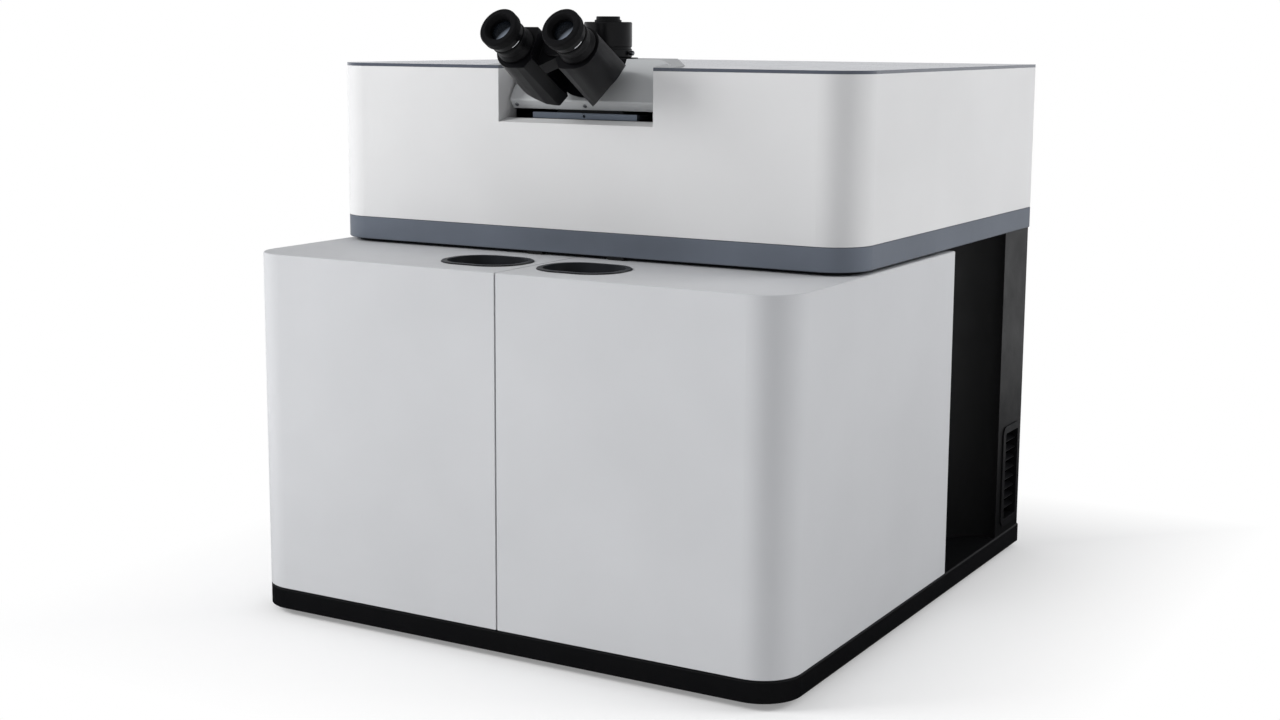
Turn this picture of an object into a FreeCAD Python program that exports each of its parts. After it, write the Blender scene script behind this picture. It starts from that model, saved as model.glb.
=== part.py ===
import FreeCAD, Part
import math
import os
from FreeCAD import Vector

# Bench Raman microscope: a lower sample chamber with two wrap-round doors, a thick optical
# base plate, an upper optics housing with a lid, and a binocular head that looks out of a notch.
# Millimetres. Origin under the middle of the instrument, on the bench. +X right, +Y back, +Z up.

# Overall outline
WIDTH = 600.0
DEPTH = 642.0
CORNER_RADIUS = 40.0
REAR_CORNER_RADIUS = 6.0

# Heights, from the bench up
FOOT_HEIGHT = 7.0
PLINTH_HEIGHT = 20.5
DOOR_GAP = 1.0
DOOR_HEIGHT = 342.5
SHELF_GAP = 3.6
PLATE_THICKNESS = 23.4
HOUSING_HEIGHT = 156.8
LID_THICKNESS = 3.2

# Depths, from the front back
SHELF_DEPTH = 138.4
SHELF_UNDER_PLATE = 22.6
DOOR_SIDE_DEPTH = 397.0
RECESS_LENGTH = 163.0

# Walls and clearances
DOOR_WALL = 3.0
HOUSING_WALL = 3.5
CABINET_WALL = 3.0
SEAM = 1.8
FREE_GAP = 0.3
RUNNING_FIT = 0.05

# Plinth, a cast plate with four pockets below, and its rubber feet
PLINTH_RIB = 24.0
PLINTH_SKIN = 5.0
PLINTH_FOOT_MARGIN = 3.0
FOOT_RADIUS = 19.0
FOOT_INSET = 62.0

# Door hinges and their pins
PIVOT_INSET_X = 17.0
PIVOT_INSET_Y = 16.0
PIN_RADIUS = 4.0
PIN_SHOULDER_RADIUS = 8.0
LOWER_SHOULDER_HEIGHT = 8.5
LUG_THICKNESS = 6.0
PIN_LENGTH_PAST_LUG = 4.0
FLANGE_WIDTH = 34.0
SEAM_FLANGE_DEPTH = 15.0
BOTTOM_LIP = 12.0

# Finger cups in the shelf
CUP_CENTRE_X = 55.0
CUP_SETBACK = 69.0
CUP_WIDTH = 82.0
CUP_DEPTH_Y = 68.0
CUP_CORNER = 30.0
CUP_SINK = 20.0
CUP_WALL = 1.6
CUP_RIM_WIDTH = 4.0
CUP_RIM_HEIGHT = 1.2

# Magnet catches for the doors, under the base plate
CATCH_X = 47.0
CATCH_WIDTH = 18.0
CATCH_DEPTH = 9.0
CATCH_SETBACK = 5.5

# Foam light seal under the base plate
SEAL_INSET = 11.0
SEAL_WIDTH = 8.0
SEAL_END_Y = 40.0

# Rear cabinet
SCOOP_RADIUS = 50.0
CABINET_SIDE_INSET = 1.5
BULKHEAD_Y = 62.0
REAR_RECESS = 4.0
PANEL_THICKNESS = 2.0
PANEL_MARGIN_X = 14.0
PANEL_MARGIN_Z = 12.0

# Side vents
VENT_Y = 282.5
VENT_Z = 94.0
VENT_WIDTH = 57.0
VENT_HEIGHT = 116.0
VENT_RIM = 8.0
VENT_CORNER = 10.0
SLAT_COUNT = 8
SLAT_THICKNESS = 1.6

# Rear connectors
INLET_X = -215.0
CONNECTOR_Z = 80.0
INLET_WIDTH = 48.0
INLET_HEIGHT = 28.0
SOCKET_WIDTH = 25.0
SOCKET_HEIGHT = 17.0
SOCKET_DEPTH = 18.0
CONNECTOR_FLANGE = 1.8
SWITCH_X = -160.0
ROCKER_WIDTH = 13.0
ROCKER_HEIGHT = 17.0
ROCKER_TILT = 12.0
ROCKER_PIN_RADIUS = 1.5
PORT_X = -110.0
PORT_SIZE = 8.6

# Cooling fan
FAN_X = 120.0
FAN_Z = 130.0
FAN_SIZE = 80.0
FAN_DEPTH = 25.0
FAN_BORE_RADIUS = 37.0
FAN_HUB_RADIUS = 17.0
FAN_BLADE_COUNT = 7
FAN_SHAFT_RADIUS = 2.0

# Power supply on the cabinet's floor
SUPPLY_INSET = 68.0
SUPPLY_SETBACK = 59.0
SUPPLY_WIDTH = 110.0
SUPPLY_LENGTH = 162.0
SUPPLY_HEIGHT = 48.0

# Chamber posts
POST_INSET_X = 55.0
POST_SETBACK = 49.6
POST_SIZE = 34.0
POST_WALL = 3.0
POST_FOOT = 8.0

# Light path and objective turret
OPTICAL_SETBACK = 64.6
COLUMN_SETBACK = 118.0
TURRET_TILT = 15.0
MOUNT_CIRCLE_RADIUS = 25.0
OBJECTIVE_COUNT = 4
TURRET_RADIUS = 42.0
TURRET_THICKNESS = 15.0
TURRET_PIN_RADIUS = 6.0
OBJECTIVE_RADIUS = 13.0
THREAD_RADIUS = 9.5
PARFOCAL_LENGTH = 45.0
OBJECTIVE_LENGTHS = (42.0, 26.0, 34.0, 40.0)
LIGHT_BORE_RADIUS = 9.0
GRIP_NOTCHES = 24

# Sample stage
ARM_TOP = 245.0
ARM_THICKNESS = 20.0
RAIL_HEIGHT = 6.0
Y_CARRIAGE_THICKNESS = 18.0
X_CARRIAGE_THICKNESS = 13.0
HOLDER_THICKNESS = 5.0
SLIDE_LENGTH = 76.0
SLIDE_WIDTH = 26.0
SLIDE_THICKNESS = 1.0
ROD_RADIUS = 3.0
MOTOR_SIZE = 34.0

# Upper housing, notch, cowl
NOTCH_HALF_WIDTH = 88.5
NOTCH_BOTTOM = 104.0
NOTCH_DEPTH = 32.0
NOTCH_WALL = 3.0
LID_NOTCH_TAPER = 36.5
LID_FLANGE = 10.0
COWL_THICKNESS = 2.5
COWL_RISE = 7.0
COWL_SIDE_GAP = 2.5
COWL_SCREW_INSET = 8.5
CREST_OVERLAP = 16.5
CREST_TAPER = 26.5
SLOT_HEIGHT = 13.0
NECK_RADIUS = 33.0

# Filter slider
SLIDER_HALF_WIDTH = 60.0
SLIDER_THICKNESS = 4.0
SLIDER_TRAVEL = 25.0
FILTER_RADIUS = 10.5

# Binocular head, in its own directions: s runs down and back along the tubes, n across them
EYE_ANGLE = 30.0
EYE_HALF_SPACING = 34.65
EYE_REACH = 144.0
HEAD_RISE = 54.0
EYECUP_RADIUS = 20.0
EYECUP_EDGE = 1.5
EYECUP_LENGTH = 10.0
EYECUP_HOLLOW = 5.0
EYE_LENS_RADIUS = 11.0
EYE_LENS_SAG = 2.2
BARREL_RADIUS = 17.4
BARREL_END = 18.0
RING_END = 35.0
HOUSING_START = 37.0
TUBE_RADIUS = 14.0
TUBE_SEAT = 14.0
COLLAR_RADIUS = 15.6
DIOPTER_RADIUS = 19.0

# Prism housings: the outline across the tube is given as x and n of each corner and its radius
HOUSING_FRONT = ((19.5, -22.6, 1.0), (27.0, -23.4, 5.0), (55.8, -22.4, 20.9), (55.8, 21.4, 20.9),
                 (16.0, 21.4, 2.0),
                 (16.0, -8.0, 2.0), (13.1, -12.9, 0.8))
HOUSING_REAR = ((19.5, -24.4, 1.0), (27.5, -28.9, 6.0), (55.8, -27.4, 21.0), (55.8, 21.6, 20.9),
                (16.0, 23.0, 2.0),
                (16.0, -8.0, 2.0), (13.1, -12.9, 0.8))
HOUSING_END = 111.0
SLANT_START = 141.5
SLANT_ACROSS = 1.0
SLANT_UP = 0.5

# Hinge of the two prism housings, above the line of the tubes
HINGE_RISE = 10.6
HINGE_PIN_RADIUS = 7.0
HINGE_LUG_RADIUS = 14.2
HINGE_LUG_START = 51.0
HINGE_LUG_LENGTH = 15.2
HINGE_CAP = 2.5
HINGE_NECK_RADIUS = 13.6
HEAD_NECK_RADIUS = 26.0

# Photo tube on top of the head
DRUM_RISE = 8.0
PHOTO_TUBE_RADIUS = 24.0
PHOTO_TUBE_HEIGHT = 35.0
PHOTO_CAP_RADIUS = 13.5
PHOTO_CAP_HEIGHT = 5.5

# Spectrograph and lasers on the base plate
SPECTROGRAPH_INSET = 24.0
SPECTROGRAPH_SETBACK = 8.0
SPECTROGRAPH_WIDTH = 214.0
SPECTROGRAPH_LENGTH = 332.0
SPECTROGRAPH_HEIGHT = 90.0
SPECTROGRAPH_WALL = 5.0
GRATING_INSET = 120.0
GRATING_SETBACK = 78.0
GRATING_COUNT = 4
GRATING_SIZE = 30.0
LASER_LENGTH = 220.0
LASER_WIDTH = 66.0
LASER_HEIGHT = 52.0
LASER_X = (100.0, 190.0)
LASER_FRONT_Y = 60.0

# Levels and lines that follow
HALF_WIDTH = WIDTH / 2
Y_FRONT = -DEPTH / 2
Y_REAR = DEPTH / 2
Z_PLINTH = FOOT_HEIGHT
Z_FLOOR = Z_PLINTH + PLINTH_HEIGHT
Z_DOOR = Z_FLOOR + DOOR_GAP
Z_SHELF = Z_DOOR + DOOR_HEIGHT
Z_PLATE = Z_SHELF + SHELF_GAP
Z_DECK = Z_PLATE + PLATE_THICKNESS
Z_LID = Z_DECK + HOUSING_HEIGHT
Z_LID_TOP = Z_LID + LID_THICKNESS
Y_UPPER = Y_FRONT + SHELF_DEPTH
OPTICAL_Y = Y_UPPER + OPTICAL_SETBACK
COLUMN_Y = OPTICAL_Y + COLUMN_SETBACK
HEAD_TOP = Z_LID_TOP + DRUM_RISE
Y_SHELF_END = Y_UPPER + SHELF_UNDER_PLATE
Y_DOOR_END = Y_FRONT + DOOR_SIDE_DEPTH
Y_PANEL = Y_DOOR_END + RECESS_LENGTH
PIVOT_X = HALF_WIDTH - PIVOT_INSET_X
POST_X = HALF_WIDTH - POST_INSET_X
POST_Y = Y_UPPER + POST_SETBACK
PIVOT_Y = Y_DOOR_END - PIVOT_INSET_Y
SPECTROGRAPH_X = SPECTROGRAPH_INSET - HALF_WIDTH
SPECTROGRAPH_Y = OPTICAL_Y + SPECTROGRAPH_SETBACK
GRATING_X = GRATING_INSET - HALF_WIDTH
GRATING_Y = OPTICAL_Y + GRATING_SETBACK
Y_REAR_WALL = Y_REAR - REAR_RECESS
Y_REAR_PANEL = Y_REAR_WALL + PANEL_THICKNESS
Z_NOTCH = Z_DECK + NOTCH_BOTTOM
Z_COWL = Z_NOTCH + SLOT_HEIGHT
CUP_Y = Y_FRONT + CUP_SETBACK
CATCH_Y = Y_UPPER + CATCH_SETBACK

EYE_S = Vector(0, math.cos(math.radians(EYE_ANGLE)), -math.sin(math.radians(EYE_ANGLE)))
EYE_N = Vector(0, math.sin(math.radians(EYE_ANGLE)), math.cos(math.radians(EYE_ANGLE)))
EYE_FRONT_Y = OPTICAL_Y - EYE_REACH
EYE_FRONT_Z = Z_LID_TOP + HEAD_RISE - EYECUP_RADIUS * EYE_N.z - EYECUP_EDGE * EYE_S.z

Z_OBJECTIVE_FACE = ARM_TOP + FREE_GAP + Y_CARRIAGE_THICKNESS + FREE_GAP + X_CARRIAGE_THICKNESS
Z_OBJECTIVE_FACE += HOLDER_THICKNESS + PARFOCAL_LENGTH
MOUNT_DISTANCE = MOUNT_CIRCLE_RADIUS / math.sin(math.radians(TURRET_TILT))
Z_TURRET_APEX = Z_OBJECTIVE_FACE + MOUNT_DISTANCE


def box(x0, x1, y0, y1, z0, z1):
    return Part.makeBox(x1 - x0, y1 - y0, z1 - z0, Vector(x0, y0, z0))


def rod(radius, base, direction, length):
    return Part.makeCylinder(radius, length, base, direction)


def upright(radius, x, y, z0, z1):
    return rod(radius, Vector(x, y, z0), Vector(0, 0, 1), z1 - z0)


def along_y(radius, x, z, y0, y1):
    return rod(radius, Vector(x, y0, z), Vector(0, 1, 0), y1 - y0)


def along_x(radius, y, z, x0, x1):
    return rod(radius, Vector(x0, y, z), Vector(1, 0, 0), x1 - x0)


def mirrored(shape):
    return shape.mirror(Vector(0, 0, 0), Vector(1, 0, 0))


def both_sides(shape):
    return Part.makeCompound([shape, mirrored(shape)])


def rounded_wire(points, radii, place):
    """Closed outline through 2-D points, with each corner rounded by its radius."""
    count = len(points)
    starts, middles, ends = [], [], []
    for i in range(count):
        corner = Vector(points[i][0], points[i][1], 0)
        before = Vector(points[i - 1][0], points[i - 1][1], 0) - corner
        after = Vector(points[(i + 1) % count][0], points[(i + 1) % count][1], 0) - corner
        before.normalize()
        after.normalize()
        half = before.getAngle(after) / 2
        radius = radii[i]
        back = radius / math.tan(half)
        bisector = before + after
        bisector.normalize()
        starts.append(corner + before * back)
        ends.append(corner + after * back)
        middles.append(corner + bisector * (radius / math.sin(half) - radius))
    edges = []
    for i in range(count):
        if radii[i] > 0:
            edges.append(Part.Arc(place(starts[i]), place(middles[i]), place(ends[i])).toShape())
        following = (i + 1) % count
        if (starts[following] - ends[i]).Length > 1e-6:
            edges.append(Part.makeLine(place(ends[i]), place(starts[following])))
    return Part.Wire(edges)


def flat(z):
    return lambda p: Vector(p.x, p.y, z)


def plan_prism(points, radii, z0, z1):
    face = Part.Face(rounded_wire(points, radii, flat(z0)))
    return face.extrude(Vector(0, 0, z1 - z0))


def rectangle(x0, x1, y0, y1):
    return [(x0, y0), (x1, y0), (x1, y1), (x0, y1)]


def side_prism(points, x0, x1, radii=None):
    """Prism along X from an outline given in Y and Z."""
    radii = radii or [0] * len(points)
    face = Part.Face(rounded_wire(points, radii, lambda p: Vector(x0, p.x, p.y)))
    return face.extrude(Vector(x1 - x0, 0, 0))


def front_prism(points, radii, y0, y1):
    """Prism along Y from an outline given in X and Z."""
    face = Part.Face(rounded_wire(points, radii, lambda p: Vector(p.x, y0, p.y)))
    return face.extrude(Vector(0, y1 - y0, 0))


def body_outline(y_front, inset, z0, z1):
    """The rounded plan that the plinth, base plate, housing and lid share."""
    x = HALF_WIDTH - inset
    front = CORNER_RADIUS - inset
    rear = max(REAR_CORNER_RADIUS - inset, 0.8)
    points = rectangle(-x, x, y_front + inset, Y_REAR - inset)
    return plan_prism(points, [front, front, rear, rear], z0, z1)


def joined(shapes):
    solid = shapes[0].multiFuse(shapes[1:])
    return solid.removeSplitter()


def revolved(points, axis_base, axis):
    """Turned solid: points are radius and distance along the axis."""
    side = Vector(1, 0, 0)
    if abs(axis.dot(side)) > 0.9:
        side = Vector(0, 0, 1)
    place = [axis_base + side * r + axis * d for r, d in points]
    face = Part.Face(Part.makePolygon(place + [place[0]]))
    return face.revolve(axis_base, axis, 360)


# Lower body


def plinth():
    body = body_outline(Y_FRONT, 0, Z_PLINTH, Z_FLOOR)
    top_edges = [e for e in body.Edges if e.BoundBox.ZMin > Z_FLOOR - 0.01]
    body = body.makeChamfer(1.2, top_edges)
    rim = FOOT_INSET + FOOT_RADIUS + PLINTH_FOOT_MARGIN
    for x_side in (-1, 1):
        for y0, y1 in ((Y_FRONT + rim, -PLINTH_RIB / 2), (PLINTH_RIB / 2, Y_REAR - rim)):
            x_pair = sorted((x_side * PLINTH_RIB / 2, x_side * (HALF_WIDTH - rim)))
            points = rectangle(x_pair[0], x_pair[1], y0, y1)
            body = body.cut(plan_prism(points, [12] * 4, Z_PLINTH, Z_FLOOR - PLINTH_SKIN))
    return body


def rubber_feet():
    feet = []
    for x in (-HALF_WIDTH + FOOT_INSET, HALF_WIDTH - FOOT_INSET):
        for y in (Y_FRONT + FOOT_INSET, Y_REAR - FOOT_INSET):
            points = [(0, 0), (FOOT_RADIUS - 2.5, 0), (FOOT_RADIUS - 1, 1), (FOOT_RADIUS, FOOT_HEIGHT),
                      (0, FOOT_HEIGHT)]
            feet.append(revolved(points, Vector(x, y, 0), Vector(0, 0, 1)))
    return Part.makeCompound(feet)


def cabinet_prism(wall, y_back, z0, z1):
    """Plan of the rear cabinet: its sides scoop inwards behind the doors."""
    x = HALF_WIDTH - CABINET_SIDE_INSET
    centre = Vector(x, Y_PANEL - SCOOP_RADIUS, 0)
    radius = SCOOP_RADIUS + wall
    outer_x = x - wall
    neck_x = x - SCOOP_RADIUS - wall
    meet_y = centre.y + math.sqrt(radius ** 2 - wall ** 2)
    start = math.atan2(meet_y - centre.y, outer_x - centre.x)
    middle = (start + math.pi) / 2
    corner = max(REAR_CORNER_RADIUS - wall, 0.8)
    front_y = BULKHEAD_Y + wall
    place = flat(z0)
    right = []
    top = Vector(outer_x, y_back - corner, 0)
    corner_mid = Vector(outer_x - corner * (1 - math.sqrt(0.5)), y_back - corner * (1 - math.sqrt(0.5)), 0)
    corner_end = Vector(outer_x - corner, y_back, 0)
    arc_mid = centre + Vector(math.cos(middle), math.sin(middle), 0) * radius
    right.append(Part.Arc(place(corner_end), place(corner_mid), place(top)).toShape())
    right.append(Part.makeLine(place(top), place(Vector(outer_x, meet_y, 0))))
    right.append(Part.Arc(place(Vector(outer_x, meet_y, 0)), place(arc_mid),
                          place(Vector(neck_x, centre.y, 0))).toShape())
    right.append(Part.makeLine(place(Vector(neck_x, centre.y, 0)), place(Vector(neck_x, front_y, 0))))
    front = Part.makeLine(place(Vector(neck_x, front_y, 0)), place(Vector(-neck_x, front_y, 0)))
    back = Part.makeLine(place(Vector(-corner_end.x, y_back, 0)), place(corner_end))
    left = [mirrored(e) for e in right]
    edges = Part.sortEdges(right + left + [front, back])[0]
    return Part.Face(Part.Wire(edges)).extrude(Vector(0, 0, z1 - z0))


def vent_outline(margin):
    width = VENT_WIDTH - 2 * margin
    height = VENT_HEIGHT - 2 * margin
    corner = max(VENT_CORNER - margin, 1)
    points = rectangle(VENT_Y - width / 2, VENT_Y + width / 2, VENT_Z - height / 2, VENT_Z + height / 2)
    return points, [corner] * 4


def rear_cabinet():
    outer = cabinet_prism(0, Y_REAR, Z_FLOOR, Z_PLATE)
    inner = cabinet_prism(CABINET_WALL, Y_REAR_WALL - CABINET_WALL, Z_FLOOR, Z_PLATE)
    shell = outer.cut(inner)
    pocket_x = HALF_WIDTH - PANEL_MARGIN_X + FREE_GAP
    z_low = Z_FLOOR + PANEL_MARGIN_Z - FREE_GAP
    z_high = Z_PLATE - PANEL_MARGIN_Z + FREE_GAP
    shell = shell.cut(box(-pocket_x, pocket_x, Y_REAR_WALL, Y_REAR, z_low, z_high))
    opening = 30.0
    access = front_prism(rectangle(-pocket_x + opening, pocket_x - opening, z_low + opening - 12,
                                   z_high - opening),
                         [8] * 4, Y_REAR_WALL - 2 * CABINET_WALL, Y_REAR)
    shell = shell.cut(access)
    points, radii = vent_outline(VENT_RIM - CABINET_WALL)
    for x0, x1 in ((HALF_WIDTH - 12, HALF_WIDTH), (-HALF_WIDTH, -HALF_WIDTH + 12)):
        shell = shell.cut(side_prism(points, x0, x1, radii))
    return shell


def side_vent():
    """Rounded bezel with sloping slats, on the right; the left one is its mirror image."""
    face_x = HALF_WIDTH - CABINET_SIDE_INSET
    points, radii = vent_outline(0)
    flange = side_prism(points, face_x, HALF_WIDTH, radii)
    neck_margin = VENT_RIM - CABINET_WALL + FREE_GAP
    points, radii = vent_outline(neck_margin)
    neck = side_prism(points, face_x - 10, face_x, radii)
    points, radii = vent_outline(VENT_RIM)
    hollow = side_prism(points, face_x - 10, HALF_WIDTH, radii)
    bezel = flange.fuse(neck).cut(hollow)
    pieces = [bezel]
    inner_height = VENT_HEIGHT - 2 * VENT_RIM
    half_y = VENT_WIDTH / 2 - VENT_RIM + 0.5
    pitch = inner_height / (SLAT_COUNT + 1)
    for i in range(SLAT_COUNT):
        z = VENT_Z - inner_height / 2 + pitch * (i + 1)
        slat = side_prism([(VENT_Y - half_y, z), (VENT_Y + half_y, z), (VENT_Y + half_y, z + SLAT_THICKNESS),
                           (VENT_Y - half_y, z + SLAT_THICKNESS)], face_x - 9.5, face_x - 2)
        slat.rotate(Vector(face_x - 5, VENT_Y, z), Vector(0, 1, 0), 30)
        pieces.append(slat)
    return joined(pieces)


def panel_cutouts():
    """Holes in the rear panel, each from the size of what sits in it."""
    y0, y1 = Y_REAR_WALL - 1, Y_REAR
    gap = FREE_GAP
    cuts = [along_y(FAN_BORE_RADIUS, FAN_X, FAN_Z, y0, y1)]
    inlet_w, inlet_h = INLET_WIDTH / 2 - 3 + gap, INLET_HEIGHT / 2 - 3 + gap
    cuts.append(box(INLET_X - inlet_w, INLET_X + inlet_w, y0, y1, CONNECTOR_Z - inlet_h,
                    CONNECTOR_Z + inlet_h))
    switch_w, switch_h = ROCKER_WIDTH / 2 + 2 + gap, ROCKER_HEIGHT / 2 + 3.5 + gap
    cuts.append(box(SWITCH_X - switch_w, SWITCH_X + switch_w, y0, y1, CONNECTOR_Z - switch_h,
                    CONNECTOR_Z + switch_h))
    port = PORT_SIZE / 2 + 1.2 + gap
    cuts.append(box(PORT_X - port, PORT_X + port, y0, y1, CONNECTOR_Z - port, CONNECTOR_Z + port))
    return cuts


def screw_places():
    x = HALF_WIDTH - PANEL_MARGIN_X - 9
    z0 = Z_FLOOR + PANEL_MARGIN_Z + 9
    z1 = Z_PLATE - PANEL_MARGIN_Z - 9
    return [(sx * px, z) for sx in (-1, 1) for px in (x, x / 3) for z in (z0, z1)]


def rear_panel():
    x = HALF_WIDTH - PANEL_MARGIN_X
    z0, z1 = Z_FLOOR + PANEL_MARGIN_Z, Z_PLATE - PANEL_MARGIN_Z
    panel = front_prism(rectangle(-x, x, z0, z1), [4] * 4, Y_REAR_WALL, Y_REAR_PANEL)
    panel = panel.cut(Part.makeCompound(panel_cutouts()))
    louvres = []
    for row in range(6):
        for column in range(2):
            xc = -150 + column * 110
            zc = 230 + row * 15
            louvres.append(front_prism(rectangle(xc - 40, xc + 40, zc - 2.5, zc + 2.5), [2.4] * 4,
                                       Y_REAR_WALL - 1, Y_REAR))
    return panel.cut(Part.makeCompound(louvres))


def rear_panel_screws():
    head = 1.6
    screws = []
    for x, z in screw_places():
        screws.append(revolved([(0, 0), (3.6, 0), (3.6, head * 0.4), (2.4, head), (0, head)],
                               Vector(x, Y_REAR_PANEL, z), Vector(0, 1, 0)))
    return Part.makeCompound(screws)


def mains_inlet():
    """Shrouded three-blade inlet, flange on the panel and body through it."""
    gap = FREE_GAP
    w, h = INLET_WIDTH / 2, INLET_HEIGHT / 2
    front = Y_REAR_PANEL + CONNECTOR_FLANGE
    flange = front_prism(rectangle(INLET_X - w, INLET_X + w, CONNECTOR_Z - h, CONNECTOR_Z + h), [3] * 4,
                         Y_REAR_PANEL, front)
    body = box(INLET_X - w + 3, INLET_X + w - 3, front - SOCKET_DEPTH - 4, front,
               CONNECTOR_Z - h + 3, CONNECTOR_Z + h - 3)
    sw, sh = SOCKET_WIDTH / 2, SOCKET_HEIGHT / 2
    outline = [(INLET_X - sw, CONNECTOR_Z - sh), (INLET_X + sw, CONNECTOR_Z - sh),
               (INLET_X + sw, CONNECTOR_Z + sh - 4), (INLET_X + sw - 4, CONNECTOR_Z + sh),
               (INLET_X - sw + 4, CONNECTOR_Z + sh), (INLET_X - sw, CONNECTOR_Z + sh - 4)]
    socket = front_prism(outline, [0] * 6, front - SOCKET_DEPTH, front + gap)
    solid = flange.fuse(body).cut(socket)
    for x, z in ((-7, -2.5), (0, 2.5), (7, -2.5)):
        blade = box(INLET_X + x - 1, INLET_X + x + 1, front - SOCKET_DEPTH - 1, front - 6,
                    CONNECTOR_Z + z - 2, CONNECTOR_Z + z + 2)
        solid = solid.fuse(blade)
    return solid.removeSplitter()


def rocker_pivot():
    return Vector(SWITCH_X, Y_REAR_PANEL - 7.0, CONNECTOR_Z)


def power_switch_frame():
    w, h = ROCKER_WIDTH / 2 + 2, ROCKER_HEIGHT / 2 + 3.5
    front = Y_REAR_PANEL + CONNECTOR_FLANGE
    flange = front_prism(rectangle(SWITCH_X - w - 2.5, SWITCH_X + w + 2.5, CONNECTOR_Z - h - 2,
                                   CONNECTOR_Z + h + 2),
                         [2] * 4, Y_REAR_PANEL, front)
    body = box(SWITCH_X - w, SWITCH_X + w, front - 22, front, CONNECTOR_Z - h, CONNECTOR_Z + h)
    hollow = box(SWITCH_X - ROCKER_WIDTH / 2 - FREE_GAP, SWITCH_X + ROCKER_WIDTH / 2 + FREE_GAP,
                 front - 19, front, CONNECTOR_Z - h + 1.7, CONNECTOR_Z + h - 1.7)
    pivot = rocker_pivot()
    frame = flange.fuse(body).cut(hollow)
    for side in (-1, 1):
        inner = side * (ROCKER_WIDTH / 2 - 2)
        outer = side * (ROCKER_WIDTH / 2 + 1)
        x0, x1 = sorted((inner, outer))
        frame = frame.fuse(along_x(ROCKER_PIN_RADIUS - RUNNING_FIT, pivot.y, pivot.z, SWITCH_X + x0,
                                   SWITCH_X + x1))
    return frame


def power_rocker():
    pivot = rocker_pivot()
    half = ROCKER_HEIGHT / 2
    profile = [(5.2, 0), (7.0, half), (-1.5, half - 1), (-3.5, 3), (-3.5, -3), (-1.5, -half + 1),
               (7.0, -half)]
    points = [(pivot.y + d, pivot.z + h) for d, h in profile]
    rocker = side_prism(points, SWITCH_X - ROCKER_WIDTH / 2, SWITCH_X + ROCKER_WIDTH / 2)
    for side in (-1, 1):
        x0, x1 = sorted((side * (ROCKER_WIDTH / 2 - 2.5), side * (ROCKER_WIDTH / 2 + 1)))
        rocker = rocker.cut(along_x(ROCKER_PIN_RADIUS, pivot.y, pivot.z, SWITCH_X + x0, SWITCH_X + x1))
    rocker.rotate(pivot, Vector(1, 0, 0), ROCKER_TILT)
    return rocker


def data_port():
    """Square socket with a metal shell, for the computer lead."""
    front = Y_REAR_PANEL + CONNECTOR_FLANGE
    outer = PORT_SIZE / 2 + 1.2
    inner = PORT_SIZE / 2
    flange = box(PORT_X - outer - 2, PORT_X + outer + 2, Y_REAR_PANEL, front, CONNECTOR_Z - outer - 2,
                 CONNECTOR_Z + outer + 2)
    body = box(PORT_X - outer, PORT_X + outer, front - 16, front, CONNECTOR_Z - outer, CONNECTOR_Z + outer)
    hollow = box(PORT_X - inner, PORT_X + inner, front - 13, front, CONNECTOR_Z - inner, CONNECTOR_Z + inner)
    return flange.fuse(body).cut(hollow).removeSplitter()


def fan_frame():
    half = FAN_SIZE / 2
    y0, y1 = Y_REAR_WALL - FAN_DEPTH, Y_REAR_WALL
    frame = front_prism(rectangle(FAN_X - half, FAN_X + half, FAN_Z - half, FAN_Z + half), [5] * 4, y0, y1)
    frame = frame.cut(along_y(FAN_BORE_RADIUS, FAN_X, FAN_Z, y0, y1))
    waist = half - 4
    ring = front_prism(rectangle(FAN_X - half - 1, FAN_X + half + 1, FAN_Z - half - 1, FAN_Z + half + 1),
                       [0] * 4, y0 + 4, y1 - 4)
    keep = along_y(FAN_BORE_RADIUS + 2, FAN_X, FAN_Z, y0, y1)
    corners = [front_prism(rectangle(FAN_X + sx * waist - 6, FAN_X + sx * waist + 6, FAN_Z + sz * waist - 6,
                                     FAN_Z + sz * waist + 6),
                           [2] * 4, y0, y1) for sx in (-1, 1) for sz in (-1, 1)]
    frame = frame.cut(ring.cut(keep).cut(Part.makeCompound(corners)))
    hub = along_y(FAN_HUB_RADIUS, FAN_X, FAN_Z, y0, y0 + 3)
    shaft = along_y(FAN_SHAFT_RADIUS, FAN_X, FAN_Z, y0 + 3, y1 - 6)
    pieces = [frame, hub, shaft]
    for i in range(4):
        strut = box(FAN_X + FAN_HUB_RADIUS - 2, FAN_X + FAN_BORE_RADIUS + 1.5, y0, y0 + 3, FAN_Z - 2,
                    FAN_Z + 2)
        strut.rotate(Vector(FAN_X, 0, FAN_Z), Vector(0, 1, 0), 90 * i + 45)
        pieces.append(strut)
    return joined(pieces)


def fan_rotor():
    y0, y1 = Y_REAR_WALL - FAN_DEPTH + 3.6, Y_REAR_WALL - 3
    hub = along_y(FAN_HUB_RADIUS, FAN_X, FAN_Z, y0, y1)
    pieces = [hub]
    middle = (y0 + y1) / 2
    for i in range(FAN_BLADE_COUNT):
        blade = box(FAN_X + FAN_HUB_RADIUS - 2, FAN_X + FAN_BORE_RADIUS - 1.5, middle - 0.8, middle + 0.8,
                    FAN_Z - 9, FAN_Z + 9)
        blade.rotate(Vector(FAN_X, middle, FAN_Z), Vector(1, 0, 0), 35)
        blade.rotate(Vector(FAN_X, 0, FAN_Z), Vector(0, 1, 0), 360.0 * i / FAN_BLADE_COUNT)
        pieces.append(blade)
    rotor = joined(pieces)
    bore = along_y(FAN_SHAFT_RADIUS + RUNNING_FIT, FAN_X, FAN_Z, y0 - 1, y1 - 2)
    return rotor.cut(bore)


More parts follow.
